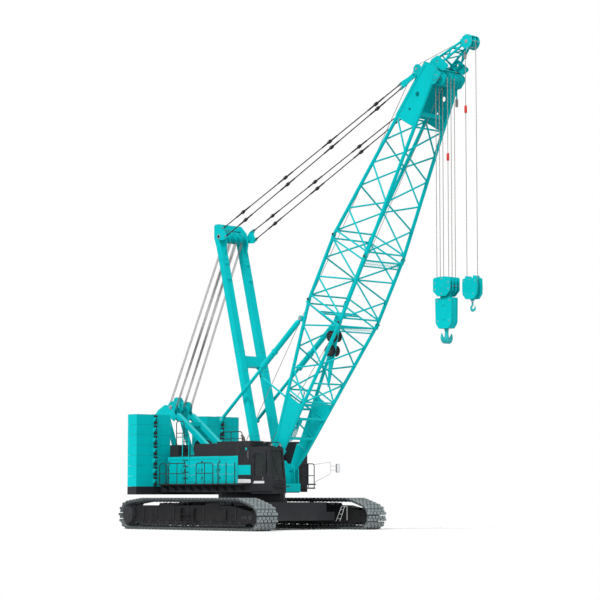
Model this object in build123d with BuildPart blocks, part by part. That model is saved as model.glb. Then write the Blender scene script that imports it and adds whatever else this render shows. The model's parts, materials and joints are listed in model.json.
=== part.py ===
"""Crawler crane with a lattice boom, at its real size, in millimetres.

+X is forward, +Y is left and +Z is up. The origin is on the slewing axis at ground level.
The boom stands at its working angle, with its mast, pendants and hook blocks in place.
"""

from build123d import *
from math import acos, asin, atan2, cos, hypot, radians, sin
import os

# Fits: moving pieces on one pin, and pieces that lie beside each other
pin_gap = 5
seat_gap = 0.3

# Crawlers: the loop's pitch line runs through the link pins
track_gauge = 6400
shoe_width = 1220
shoe_pitch = 245
shoe_gap = 14
shoe_height = 130
link_depth = 70
groove_height = 62
drive_x = -4070
drive_pitch_radius = 500
idler_x = 4090
idler_pitch_radius = 430
carrier_rear_x = -3090
carrier_front_x = 3300
track_height = 1380
tread_clearance = 3
tread_width = 520

# Side frames of the crawlers, their rollers and final drives
frame_width = 800
web_thickness = 40
frame_bottom = 320
frame_floor = 520
frame_top = 1050
frame_slope_x = 2690
frame_slope_end = (4320, 760)
box_front_x = 3300
box_rear_x = -3520
saddle_x = 1560
saddle_length = 1000
saddle_top = 1160
flange_z = (420, 450)
flange_reach = 30
roller_radius = 140
roller_count = 12
roller_span = 6600
carrier_roller_radius = 62
carrier_spread = 350
hub_radius = 120
final_drive_radius = 360
final_drive_reach = 200
final_flange_radius = 470
motor_radius = 230
motor_length = 330
step_xs = (-470, 410)
step_reach = 100
step_z = (350, 950)
cover_x = (1820, 2490)
cover_z = (410, 870)

# Carbody, its central weights and the slewing ring
carbody_radius = 1560
carbody_bottom = 520
carbody_top = 1290
cross_beam_x = 1150
cross_beam_width = 640
weight_tie = (700, 600, 1000)
weight_face_x = 3000
weight_depth = 720
weight_upper = (780, 1190)
weight_lower = (400, 760)
weight_upper_half_width = 1700
weight_lower_half_width = 2200
ring_radius = 1480
ring_width = 260
ring_split = 1470
centre_joint_radius = 160
lifting_eye_y = 2560
lifting_eye_height = 300
lifting_hole_radius = 55

# Upper works: deck, housings and walkways
deck_bottom = 1630
deck_top = 2000
deck_rear_x = -4380
deck_front_x = 3200
deck_half_width = 1650
centre_frame_half_width = 860
centre_frame_front_x = 2240
housing_inner = 930
panel_top = 3200
housing_roof = 3740
roof_step = 80
housing_rear_x = -3850
panel_front_x = 950
housing_front_x = 1830
door_lines = (-2700, -1500, -300)
door_recess = 14
louvre_x = (-3640, -2880)
louvre_z = (2250, 3000)
louvre_count = 6
walkway_width = 520
walkway_depth = 60
bracket_pitch = 570
rail_height = 900
rail_radius = 21
rail_corner = 130
platform_front_x = 2080
platform_z = (1780, 1830)
mirror_y = (3190, 3400)
mirror_z = (2500, 2880)
mirror_arm_radius = 14

# Cab: a hollow shell, its windows and its door
cab_inner = 880
cab_outer = 1700
cab_rear_x = 1850
cab_front_bottom_x = 3210
cab_front_top_x = 3020
cab_bottom = 1670
cab_waist = 2070
cab_roof = 3560
cab_wall = 60
window_margin = 80
windscreen_z = (2150, 3420)
windscreen_setback = 40
glass_thickness = 12
glass_inset = 24
door_x = (1990, 2740)
door_z = (1830, 3400)
door_rail = 90
door_window_bottom = 2300
hinge_pin = (1985, -1722)
hinge_radius = 16
hinge_ear_reach = 6
hinge_zs = (2050, 3150)
hinge_height = 120
ledge_depth = 280

# Counterweight: slabs on a base across the whole width
ballast_depth = 640
ballast_half_width = 3040
ballast_inner = 720
ballast_bevel = (460, 380)
ballast_base = (1520, 1880)
ballast_top = 5130
slab_count = 7
slab_gap = 6
slab_seat_inset = 200
lug_y = 2000
ballast_lug_width = 50

# Gantry
gantry_side = 430
gantry_leg_width = 200
gantry_leg_depth = 220
gantry_foot = (-1650, 3080)
gantry_peak = (-5100, 5460)
gantry_axle = (-5020, 5520)
gantry_leg_end = 560
gantry_cheek = 30
gantry_sheave_radius = 280
gantry_sheave_width = 150
gantry_axle_radius = 60

# Winches: drum radius and flange radius are the same for the two lower ones
drum_half_width = 240
drum_flange = 40
drum_shaft_radius = 80
pedestal_gap = 20
pedestal_thickness = 40

# Mast
mast_foot = (1200, 2800)
mast_angle = 104.8
mast_side = 620
mast_leg_width = 340
mast_leg_depth = 300
mast_leg_start = 420
mast_head_along = 10500
mast_beam_along = 4550
mast_beam_depth = 430
mast_sheave_radius = 270
mast_sheave_width = 150
mast_rows = (-330, 0, 330)
mast_axle_radius = 70
pendant_pivot = (-1240, 13050)
pendant_side = 880
pendant_plate = 60
pendant_rod_radius = 26
pendant_sleeve_radius = 46
pendant_sleeve_length = 420

# Boom: the foot pin, the angle, and where its sections are pinned together
boom_foot = (2000, 2660)
boom_angle = 59.7
foot_side = 660
foot_lug_width = 180
foot_pin_radius = 75
foot_rise_back = 45
foot_rise_belly = -220
base_length = 7620
insert_length = 3048
tip_length = 8230
boom_half_width = 1100
boom_half_depth = 1085
head_half_width = 720
head_rise_back = 60
head_rise_belly = -600
head_plate_length = 2530
head_plate_thickness = 60
chord_radius = 76
chord_sides = 6
lacing_radius = 38
joint_setback = 110
finger_width = 40
lattice_setback = 190
base_plate_start = 1080
base_plate_end = 3520
base_plate_thickness = 40
belly_tubes = (1705, 2710, 3430)
belly_tube_radius = 60
catwalk_width = 260
guide_start = 4540
guide_side = 30
guide_roller_radius = 240
guide_roller_length = 200
guide_rollers = (5876, 6465)
head_sheave_setback = 338
head_sheave_rise = -770
head_axle_radius = 80
head_rows = (-480, -300, -120, 120, 300, 480)
head_row_width = 150
anchor_setback = 673
anchor_rise = 287
head_tube_setback = 2010
head_hole_setback = 1310
head_hole_radius = 110
guide_sheave_setback = 490
guide_sheave_rise = 680
guide_sheave_side = -450
guide_sheave_radius = 200
guide_sheave_width = 60
guide_pin_radius = 40

# Auxiliary jib at the boom head
aux_head_reach = 1451
aux_head_rise = -1128
jib_cheek = (200, 250)
jib_pin_radius = 50
jib_chord_radius = 50
jib_lacing_radius = 28
aux_axle_radius = 50

# Backstops beside the mast, and the struts that the mast is laid on
mast_stop_radius = 55
mast_stop_length = 1850
backstop_side = 1050
backstop_angle = 218.75
backstop_setback = 970
backstop_eye_rise = 230
backstop_length = 6630
barrel_length = 3100
barrel_radius = 120
stop_rod_radius = 75
stop_pin_radius = 50

# Hook blocks and their ropes
rope_radius = 14
main_block_side = -220
main_fall_length = 8460
main_sheave_radius = 310
main_cheek = (470, 250)
shackle_hole_radius = 45
aux_fall_length = 9900
aux_sheave_radius = 270
aux_cheek_radius = 385


# Planes of the inclined members: X runs along the member and Y to its back
def member_plane(foot, angle):
    """A side plane with its origin at a foot pin and X along a member at this angle."""
    direction = (cos(radians(angle)), 0, sin(radians(angle)))
    return Plane(origin=(foot[0], 0, foot[1]), x_dir=direction, z_dir=(0, -1, 0))


machine_plane = Plane.XZ
boom_plane = member_plane(boom_foot, boom_angle)
mast_plane = member_plane(mast_foot, mast_angle)


def at(plane, along, rise, side=0):
    """The point at these distances in a side plane, at this distance to the left."""
    return plane.from_local_coords(Vector(along, rise, -side))


# Forms that many pieces share
def plate(outline, side_start, side_end, plane=machine_plane):
    """A plate of this outline in a side plane, between two distances to the left."""
    with BuildPart() as cut:
        with BuildSketch(plane.offset(-side_end)):
            with BuildLine():
                Polyline(*outline, close=True)
            make_face()
        extrude(amount=side_end - side_start)
    return cut.part


def block(x, y, z):
    """A block between two distances along each axis."""
    with BuildPart() as cut:
        with BuildSketch(Plane.XY.offset(z[0])):
            with Locations(((x[0] + x[1]) / 2, (y[0] + y[1]) / 2)):
                Rectangle(x[1] - x[0], y[1] - y[0])
        extrude(amount=z[1] - z[0])
    return cut.part


def shaft(centre, side_start, side_end, radius, plane=machine_plane):
    """A round shaft across the machine at a point of a side plane."""
    with BuildPart() as turned:
        with BuildSketch(plane.offset(-side_end)):
            with Locations(centre):
                Circle(radius)
        extrude(amount=side_end - side_start)
    return turned.part


def disc(centre, side_start, side_end, radius, sides=18, plane=machine_plane):
    """A disc across the machine whose rim is drawn with this many flats."""
    with BuildPart() as turned:
        with BuildSketch(plane.offset(-side_end)):
            with Locations(centre):
                RegularPolygon(radius, sides)
        extrude(amount=side_end - side_start)
    return turned.part


def rod(start, end, radius):
    """A round bar between two points."""
    run = end - start
    with BuildPart() as drawn:
        with BuildSketch(Plane(origin=start, z_dir=run)):
            Circle(radius)
        extrude(amount=run.length)
    return drawn.part


def strut(start, end, radius, sides=4):
    """A straight tube between two points, drawn with this many flats."""
    run = end - start
    with BuildPart() as drawn:
        with BuildSketch(Plane(origin=start, z_dir=run)):
            RegularPolygon(radius, sides)
        extrude(amount=run.length)
    return drawn.part


def beam(start, end, width, depth):
    """A box beam between two points of a side plane, its width across the machine."""
    run = end - start
    with BuildPart() as drawn:
        with BuildSketch(Plane(origin=start, x_dir=(0, 1, 0), z_dir=run)):
            Rectangle(width, depth)
        extrude(amount=run.length)
    return drawn.part


def sheave(centre, sides, width, radius, bore, plane=machine_plane):
    """Sheaves in a row on one hub; sides are their middles, bore is the hub's inside."""
    hub_start, hub_end = min(sides) - width / 2, max(sides) + width / 2
    with BuildPart() as turned:
        add(disc(centre, hub_start, hub_end, bore * 1.5, 8, plane))
        for side in sides:
            add(disc(centre, side - width / 2, side + width / 2, radius, 18, plane))
        add(shaft(centre, hub_start, hub_end, bore, plane), mode=Mode.SUBTRACT)
    return turned.part


def both_sides(*pieces):
    """The pieces with their mirror images across the machine's centre plane."""
    return [copy for piece in pieces for copy in (piece, piece.mirror(Plane.XZ))]


def rail(points, radius=rail_radius):
    """A handrail of slim tube through these points."""
    return [strut(a, b, radius) for a, b in zip(points, points[1:])]


def rail_frame(rear_x, front_x, y, foot, height=rail_height, middle_post=True):
    """A handrail along the machine with cut corners, a middle rail and a middle post."""
    top = foot + height
    outline = [
        (rear_x, foot),
        (rear_x, top - rail_corner),
        (rear_x + rail_corner, top),
        (front_x - rail_corner, top),
        (front_x, top - rail_corner),
        (front_x, foot),
    ]
    tubes = rail([Vector(x, y, z) for x, z in outline])
    waist = foot + height / 2
    tubes += rail([Vector(rear_x, y, waist), Vector(front_x, y, waist)])
    if middle_post:
        middle = (rear_x + front_x) / 2
        tubes += rail([Vector(middle, y, foot), Vector(middle, y, top)])
    return tubes


def write(part, label):
    """Labels a finished piece and writes it."""
    part.label = label
    export_step(part, f"parts/{label}.step")


os.makedirs("parts", exist_ok=True)

# Track loop
drive_centre = (drive_x, shoe_height + drive_pitch_radius)
idler_centre = (idler_x, shoe_height + idler_pitch_radius)
pin_top = track_height - shoe_height
track_side = track_gauge / 2


def tangent_point(centre, radius, outside, turn):
    """Where a tangent from an outside point touches a circle, on the side that turn gives."""
    away_x, away_z = outside[0] - centre[0], outside[1] - centre[1]
    angle = atan2(away_z, away_x) + turn * acos(radius / hypot(away_x, away_z))
    return centre[0] + radius * cos(angle), centre[1] + radius * sin(angle)


with BuildLine() as pitch_line:
    leave_drive = tangent_point(drive_centre, drive_pitch_radius, (carrier_rear_x, pin_top), 1)
    meet_idler = tangent_point(idler_centre, idler_pitch_radius, (carrier_front_x, pin_top), -1)
    Line((idler_x, shoe_height), (drive_x, shoe_height))
    ThreePointArc((drive_x, shoe_height), (drive_x - drive_pitch_radius, drive_centre[1]), leave_drive)
    Polyline(leave_drive, (carrier_rear_x, pin_top), (carrier_front_x, pin_top), meet_idler)
    ThreePointArc(meet_idler, (idler_x + idler_pitch_radius, idler_centre[1]), (idler_x, shoe_height))

track_path = pitch_line.wire()
shoe_count = round(track_path.length / shoe_pitch)
link_pins = [track_path.position_at(i / shoe_count) for i in range(shoe_count)]

# Each shoe gives the groove before it and its two outer edges
shoe_outline = []
link_outline = []
for before, here, after in zip(link_pins[-1:] + link_pins, link_pins, link_pins[1:] + link_pins[:1]):
    along = (after - here).normalized()
    outward = Vector(-along.Y, along.X)
    bisector = (outward + Vector(-(here - before).Y, (here - before).X).normalized()).normalized()
    shoe_outline.append(here + bisector * groove_height)
    shoe_outline.append(here + along * shoe_gap + outward * shoe_height)
    shoe_outline.append(after - along * shoe_gap + outward * shoe_height)
    link_outline.append(here - bisector * link_depth)

for side, name in ((1, "left"), (-1, "right")):
    with BuildPart() as track:
        with BuildSketch(Plane.XZ.offset(-side * track_side - shoe_width / 2)):
            with BuildLine():
                Polyline(*[(p.X, p.Y) for p in shoe_outline], close=True)
            make_face()
            with BuildLine():
                Polyline(*[(p.X, p.Y) for p in link_outline], close=True)
            make_face(mode=Mode.SUBTRACT)
        extrude(amount=shoe_width)
    write(track.part, f"track_{name}")

# Side frames: two webs with a box between them, open below over the rollers
inner_face, outer_face = track_side - frame_width / 2, track_side + frame_width / 2


def slope_z(x):
    """Height of the side frame's front slope."""
    fall = (frame_top - frame_slope_end[1]) / (frame_slope_end[0] - frame_slope_x)
    return frame_top - fall * (x - frame_slope_x)


saddles = []
for middle in (-saddle_x, saddle_x):
    low, high = middle - saddle_length / 2, middle + saddle_length / 2
    saddles += [(low, frame_top), (low + 80, saddle_top), (high - 80, saddle_top), (high, frame_top)]
web_outline = [
    (drive_x - 200, drive_centre[1] + 260),
    (box_rear_x + 20, frame_top),
    *saddles,
    (frame_slope_x, frame_top),
    frame_slope_end,
    (frame_slope_end[0] + 60, 620),
    (frame_slope_end[0] + 60, 480),
    (frame_slope_end[0] - 30, frame_bottom + 40),
    (3750, frame_bottom),
    (-3560, frame_bottom),
    (drive_x - 200, drive_centre[1] - 260),
]
box_outline = [
    (box_rear_x, frame_floor),
    (box_front_x, frame_floor),
    (box_front_x, slope_z(box_front_x)),
    (frame_slope_x, frame_top),
    (box_rear_x, frame_top),
]
hand_holes = ((-2300, 600), (2950, 610))
hand_hole = [(-150, 0), (-100, -70), (100, -70), (150, 0), (100, 70), (-100, 70)]
for side, name in ((1, "left"), (-1, "right")):
    with BuildPart() as side_frame:
        add(plate(web_outline, inner_face, inner_face + web_thickness))
        add(plate(web_outline, outer_face - web_thickness, outer_face))
        add(plate(box_outline, inner_face, outer_face))
        add(block((box_rear_x, 3700), (outer_face, outer_face + flange_reach), flange_z))
        add(block(cover_x, (outer_face, outer_face + 50), cover_z))
        for x in step_xs:
            add(block((x - 15, x + 15), (outer_face, outer_face + step_reach), step_z))
        for z in (step_z[0], (step_z[0] + step_z[1]) / 2):
            add(block(step_xs, (outer_face, outer_face + step_reach), (z, z + 30)))
        for x, z in hand_holes:
            recess = [(x + a, z + b) for a, b in hand_hole]
            add(plate(recess, outer_face - web_thickness / 2, outer_face), mode=Mode.SUBTRACT)
        if side < 0:
            mirror(about=Plane.XZ, mode=Mode.REPLACE)
    write(side_frame.part, f"side_frame_{name}")

roller_z = shoe_height + link_depth + roller_radius + seat_gap
roller_pitch = roller_span / (roller_count - 1)
wheel_faces = (inner_face + web_thickness + seat_gap, outer_face - web_thickness - seat_gap)
with BuildPart() as track_rollers:
    for i in range(roller_count):
        centre = (-roller_span / 2 + i * roller_pitch, roller_z)
        add(both_sides(disc(centre, *wheel_faces, roller_radius, 8)))
write(track_rollers.part, "track_rollers")

carrier_z = pin_top - link_depth - carrier_roller_radius - seat_gap
with BuildPart() as carrier_rollers:
    for middle in (-saddle_x, saddle_x):
        for x in (middle - carrier_spread, middle + carrier_spread):
            add(both_sides(disc((x, carrier_z), *wheel_faces, carrier_roller_radius, 8)))
write(carrier_rollers.part, "carrier_rollers")


def tread_radius(pitch_radius):
    """Radius of a wheel that just clears the flats of the links round it."""
    half_link = asin(shoe_pitch / 2 / pitch_radius)
    return (pitch_radius - link_depth) * cos(half_link) - tread_clearance


tread = (track_side - tread_width / 2, track_side + tread_width / 2)
for name, centre, pitch_radius in (
    ("idlers", idler_centre, idler_pitch_radius),
    ("drive_tumblers", drive_centre, drive_pitch_radius),
):
    with BuildPart() as end_wheels:
        rim = disc(centre, *tread, tread_radius(pitch_radius))
        add(both_sides(rim + disc(centre, *wheel_faces, hub_radius, 8)))
    write(end_wheels.part, name)

with BuildPart() as final_drives:
    flange = disc(drive_centre, outer_face, outer_face + 80, final_flange_radius - 90)
    housing = disc(drive_centre, outer_face, outer_face + final_drive_reach, final_drive_radius)
    cap = disc(drive_centre, outer_face, outer_face + final_drive_reach + 10, hub_radius, 8)
    motor = disc(drive_centre, inner_face - motor_length, inner_face, motor_radius, 12)
    add(both_sides(flange + housing + cap, motor))
write(final_drives.part, "final_drives")

# Carbody: a round centre with two cross beams to the side frames
with BuildPart() as carbody:
    with BuildSketch(Plane.XY.offset(carbody_bottom)):
        RegularPolygon(carbody_radius, 24)
        with Locations((cross_beam_x, 0), (-cross_beam_x, 0)):
            Rectangle(cross_beam_width, 2 * inner_face)
    extrude(amount=frame_top - carbody_bottom)
    with BuildSketch(Plane.XY.offset(frame_top)):
        RegularPolygon(carbody_radius, 24)
    extrude(amount=carbody_top - frame_top)
    tie_reach = weight_face_x - weight_depth
    add(block((-tie_reach, tie_reach), (-weight_tie[0], weight_tie[0]), weight_tie[1:]))
    for x in (-cross_beam_x, cross_beam_x):
        eye_outline = [
            (x - 150, frame_top),
            (x - 90, frame_top + lifting_eye_height),
            (x + 90, frame_top + lifting_eye_height),
            (x + 150, frame_top),
        ]
        eye = plate(eye_outline, lifting_eye_y - 25, lifting_eye_y + 25)
        eye_hole = (x, frame_top + lifting_eye_height - 110)
        eye -= shaft(eye_hole, lifting_eye_y - 25, lifting_eye_y + 25, lifting_hole_radius)
        add(both_sides(eye))
write(carbody.part, "carbody")

for end, name in ((1, "front"), (-1, "rear")):
    reach = sorted((end * tie_reach, end * weight_face_x))
    with BuildPart() as weight:
        upper, lower = weight_upper_half_width, weight_lower_half_width
        add(block(reach, (-upper, upper), (weight_lower[1], weight_upper[1])))
        add(block(reach, (-lower, lower), weight_lower))
    write(weight.part, f"carbody_weight_{name}")

with BuildPart() as slew_ring:
    with BuildSketch(Plane.XY.offset(carbody_top)):
        RegularPolygon(ring_radius, 24)
        RegularPolygon(ring_radius - ring_width, 24, mode=Mode.SUBTRACT)
        Circle(centre_joint_radius)
    extrude(amount=ring_split - carbody_top)
write(slew_ring.part, "slew_ring")

# Revolving frame: the turntable, the centre frame and the brackets of boom and mast
lug = (foot_side - foot_lug_width / 2, foot_side + foot_lug_width / 2)
lug_inner, lug_outer = lug[0] - pin_gap, lug[1] + pin_gap
bracket_thickness = 40
boss_length = 90
boss_radius = foot_pin_radius * 1.7
bracket_outline = [
    (520, deck_top),
    (1010, 3010),
    (1380, 3010),
    (1700, 2620),
    (1800, 2860),
    (2080, 2860),
    (2200, 2620),
    (centre_frame_front_x, 1600),
    (520, 1600),
]
with BuildPart() as revolving_frame:
    with BuildSketch(Plane.XY.offset(ring_split + seat_gap)):
        RegularPolygon(ring_radius, 24)
    extrude(amount=deck_bottom - ring_split - seat_gap)
    centre_frame = block(
        (deck_rear_x, centre_frame_front_x),
        (-centre_frame_half_width, centre_frame_half_width),
        (deck_bottom, deck_top),
    )
    add(centre_frame)
    for start in (lug_inner - bracket_thickness, lug_outer):
        add(both_sides(plate(bracket_outline, start, start + bracket_thickness)))
    for foot in (boom_foot, mast_foot):
        add(both_sides(disc(foot, lug_inner - boss_length, lug_inner, boss_radius, 8)))
        add(both_sides(disc(foot, lug_outer, lug_outer + bracket_thickness + 20, boss_radius, 8)))
        add(both_sides(disc(foot, lug_inner, lug_outer, foot_pin_radius, 12)))
write(revolving_frame.part, "revolving_frame")

# Side decks, and the walkways outside the housings with their brackets and rails
for side, name in ((1, "left"), (-1, "right")):
    with BuildPart() as deck:
        width = (centre_frame_half_width, deck_half_width)
        add(block((deck_rear_x, housing_front_x), width, (deck_bottom, deck_top)))
        if side < 0:
            cab_floor = (cab_bottom - 110, cab_bottom - seat_gap)
            add(block((housing_front_x, deck_front_x), (cab_inner, deck_half_width), cab_floor))
            mirror(about=Plane.XZ, mode=Mode.REPLACE)
    write(deck.part, f"side_deck_{name}")

rail_y = deck_half_width + walkway_width - rail_radius
rail_frames = ((-3190, -2010), (-1270, -130))
single_posts = (210, 750, 1320)
with BuildPart() as walkways:
    reach = (deck_half_width, deck_half_width + walkway_width)
    grating = block((housing_rear_x, housing_front_x), reach, (deck_top - walkway_depth, deck_top))
    add(both_sides(grating))
    bracket_count = int((housing_front_x - housing_rear_x) / bracket_pitch)
    for i in range(bracket_count + 1):
        x = housing_rear_x + 40 + i * bracket_pitch
        with BuildPart() as arm:
            with BuildSketch(Plane.YZ.offset(x)):
                with BuildLine():
                    Polyline(
                        (deck_half_width, deck_top - walkway_depth),
                        (deck_half_width + walkway_width - 60, deck_top - walkway_depth),
                        (deck_half_width, deck_bottom + 40),
                        close=True,
                    )
                make_face()
            extrude(amount=20)
        add(both_sides(arm.part))
    for rear_x, front_x in rail_frames:
        for tube in rail_frame(rear_x, front_x, rail_y, deck_top):
            add(both_sides(tube))
    for x in single_posts:
        post = strut(Vector(x, rail_y, deck_top), Vector(x, rail_y, deck_top + rail_height), rail_radius)
        add(both_sides(post))
write(walkways.part, "walkways")

# Machinery housings: lower panels with door lines and louvres, and the upper parts,
# of which the right one has a dip where its ladder arrives
ladder_dip = [
    (-3130, housing_roof),
    (-3130, panel_top + 60),
    (-2000, panel_top + 60),
    (-2000, housing_roof),
]
upper_outline = [
    (-3710, panel_top),
    (-3700, housing_roof),
    (-450, housing_roof),
    (-450, housing_roof + roof_step),
    (housing_front_x, housing_roof + roof_step),
    (housing_front_x, deck_top),
    (panel_front_x, deck_top),
    (panel_front_x, panel_top),
]
for side, name in ((1, "left"), (-1, "right")):
    with BuildPart() as side_housing:
        add(block((housing_rear_x, panel_front_x), (housing_inner, deck_half_width), (deck_top, panel_top)))
        outside = (deck_half_width - door_recess, deck_half_width)
        for x in door_lines:
            add(block((x - 8, x + 8), outside, (deck_top + 60, panel_top - 60)), mode=Mode.SUBTRACT)
        louvre_pitch = (louvre_z[1] - louvre_z[0]) / louvre_count
        for i in range(louvre_count if side > 0 else 0):
            z = louvre_z[0] + i * louvre_pitch
            add(block(louvre_x, outside, (z, z + louvre_pitch / 2)), mode=Mode.SUBTRACT)
        if side < 0:
            mirror(about=Plane.XZ, mode=Mode.REPLACE)
    write(side_housing.part, f"side_housing_{name}")
    with BuildPart() as upper_housing:
        dip = ladder_dip if side < 0 else []
        outline = upper_outline[:2] + dip + upper_outline[2:]
        add(plate(outline, housing_inner, deck_half_width))
        if side < 0:
            mirror(about=Plane.XZ, mode=Mode.REPLACE)
    write(upper_housing.part, f"upper_housing_{name}")

# Rails on the roofs, and the ladder from the walkway to the upper housing
with BuildPart() as roof_rails:
    for tube in rail_frame(-3680, -3150, -1300, housing_roof, 1080, middle_post=False):
        add(tube)
    for tube in rail_frame(housing_rear_x + 170, -2150, 1300, housing_roof, 640):
        add(tube)
    cab_rail_y = -cab_outer + 100
    cab_rail = [(cab_rear_x + 40, cab_roof), (cab_rear_x + 40, 3790), (3560, 3730)]
    for tube in rail([Vector(x, cab_rail_y, z) for x, z in cab_rail]):
        add(tube)
    prop_x = cab_front_top_x - 60
    add(strut(Vector(prop_x, cab_rail_y, cab_roof), Vector(prop_x, cab_rail_y, 3752), rail_radius))
write(roof_rails.part, "roof_rails")

ladder_xs = (-2800, -2350)
with BuildPart() as housing_ladder:
    ladder_y = -deck_half_width - rail_radius - seat_gap
    for x in ladder_xs:
        low, high = Vector(x, ladder_y, deck_top), Vector(x, ladder_y, housing_roof + 500)
        add(strut(low, high, rail_radius))
    for i in range(8):
        z = deck_top + 250 + i * 270
        add(strut(Vector(ladder_xs[0], ladder_y, z), Vector(ladder_xs[1], ladder_y, z), rail_radius * 0.7))
write(housing_ladder.part, "housing_ladder")

# Platform at the front left with its rails, and the mirror on its slim frame
with BuildPart() as front_platform:
    step_y = (centre_frame_half_width + pin_gap, 1900)
    add(block((housing_front_x, platform_front_x), step_y, platform_z))
    rail_x = platform_front_x - 30
    posts = (1130, 1500, 1860)
    rail_top = platform_z[1] + 1040
    for y in posts:
        add(strut(Vector(rail_x, y, platform_z[1]), Vector(rail_x, y, rail_top), rail_radius))
    for z in (platform_z[1] + 520, rail_top):
        add(strut(Vector(rail_x, posts[0], z), Vector(rail_x, posts[-1], z), rail_radius))
    mirror_frame = [(posts[-1], 2840), (2870, 2960), (2870, 2450), (posts[-1], 2050)]
    for tube in rail([Vector(rail_x, y, z) for y, z in mirror_frame], mirror_arm_radius):
        add(tube)
    for z in (2600, 2780):
        add(strut(Vector(rail_x, 2870, z), Vector(rail_x, 3210, z), mirror_arm_radius))
    add(block((rail_x - 30, rail_x + 30), mirror_y, mirror_z))
write(front_platform.part, "front_platform")

# Cab: a hollow shell with its windows cut, and a door hinged at its rear edge
windscreen_slope = (cab_front_top_x - cab_front_bottom_x) / (cab_roof - cab_waist)


def front_x_at(z):
    """Where the cab's sloped front face stands at this height."""
    return cab_front_bottom_x + windscreen_slope * (z - cab_waist)


cab_outline = [
    (cab_rear_x, cab_bottom),
    (cab_front_bottom_x, cab_bottom),
    (cab_front_bottom_x, cab_waist),
    (cab_front_top_x, cab_roof - 60),
    (cab_front_top_x - 70, cab_roof),
    (cab_rear_x, cab_roof),
]
cab_inside = [
    (cab_rear_x + cab_wall, cab_bottom + cab_wall),
    (cab_front_bottom_x - cab_wall, cab_bottom + cab_wall),
    (cab_front_bottom_x - cab_wall, cab_waist),
    (cab_front_top_x - cab_wall, cab_roof - cab_wall),
    (cab_rear_x + cab_wall, cab_roof - cab_wall),
]
side_window = [
    (door_x[1] + 80, 2300),
    (front_x_at(2300) - 100, 2300),
    (front_x_at(3400) - 100, 3400),
    (door_x[1] + 80, 3400),
]
far_window = [
    (cab_rear_x + 150, 2500),
    (front_x_at(2500) - 100, 2500),
    (front_x_at(3400) - 100, 3400),
    (cab_rear_x + 150, 3400),
]
windscreen_y = (-cab_outer + window_margin, -cab_inner - window_margin)
with BuildPart() as cab_shell:
    add(plate(cab_outline, -cab_outer, -cab_inner))
    add(plate(cab_inside, -cab_outer + cab_wall, -cab_inner - cab_wall), mode=Mode.SUBTRACT)
    add(block(door_x, (-cab_outer, -cab_outer + cab_wall), door_z), mode=Mode.SUBTRACT)
    add(plate(side_window, -cab_outer, -cab_outer + cab_wall), mode=Mode.SUBTRACT)
    add(plate(far_window, -cab_inner - cab_wall, -cab_inner), mode=Mode.SUBTRACT)
    windscreen_cut = (cab_front_top_x - 2 * cab_wall, cab_front_bottom_x)
    add(block(windscreen_cut, windscreen_y, windscreen_z), mode=Mode.SUBTRACT)
    ear_x = (hinge_pin[0] - hinge_radius, hinge_pin[0] + hinge_ear_reach)
    for z in hinge_zs:
        add(block(ear_x, (hinge_pin[1] - hinge_radius, -cab_outer), (z - 50, z - seat_gap)))
    ledge = (cab_front_bottom_x, cab_front_bottom_x + ledge_depth)
    add(block(ledge, (-cab_outer + 100, -cab_inner - 40), (cab_bottom + 170, cab_bottom + 210)))
write(cab_shell.part, "cab_shell")

with BuildPart() as cab_glass:
    pane = (-cab_outer + glass_inset, -cab_outer + glass_inset + glass_thickness)
    add(plate(side_window, *pane))
    add(plate(far_window, -cab_inner - glass_inset - glass_thickness, -cab_inner - glass_inset))
    low, high = windscreen_z
    low_x = front_x_at(low) - windscreen_setback
    high_x = front_x_at(high) - windscreen_setback
    front_pane = [
        (low_x, low),
        (low_x + glass_thickness, low),
        (high_x + glass_thickness, high),
        (high_x, high),
    ]
    add(plate(front_pane, *windscreen_y))
write(cab_glass.part, "cab_glass")

with BuildPart() as cab_door:
    door_y = (-cab_outer, -cab_outer + cab_wall)
    leaf_x = (door_x[0] + pin_gap, door_x[1] - pin_gap)
    add(block(leaf_x, door_y, (door_z[0] + pin_gap, door_z[1] - pin_gap)))
    window_x = (door_x[0] + door_rail, door_x[1] - door_rail)
    add(block(window_x, door_y, (door_window_bottom, door_z[1] - door_rail)), mode=Mode.SUBTRACT)
    for z in hinge_zs:
        add(rod(Vector(*hinge_pin, z), Vector(*hinge_pin, z + hinge_height), hinge_radius))
        leaf_y = (hinge_pin[1] - hinge_radius / 2, -cab_outer)
        add(block((hinge_pin[0], door_x[0] + 70), leaf_y, (z, z + hinge_height)))
write(cab_door.part, "cab_door")

seat_middle = -(cab_inner + cab_outer) / 2
with BuildPart() as cab_seat:
    cab_floor_z = cab_bottom + cab_wall
    add(block((2200, 2560), (seat_middle - 150, seat_middle + 150), (cab_floor_z, 2060)))
    add(block((2120, 2640), (seat_middle - 240, seat_middle + 240), (2060, 2190)))
    add(block((2040, 2160), (seat_middle - 230, seat_middle + 230), (2150, 2850)))
write(cab_seat.part, "cab_seat")

# Counterweight: the base, and two stacks of slabs with bevelled inner corners
ballast_x = (deck_rear_x - ballast_depth, deck_rear_x)
with BuildPart() as counterweight_base:
    add(block(ballast_x, (-ballast_half_width, ballast_half_width), ballast_base))
write(counterweight_base.part, "counterweight_base")

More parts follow.
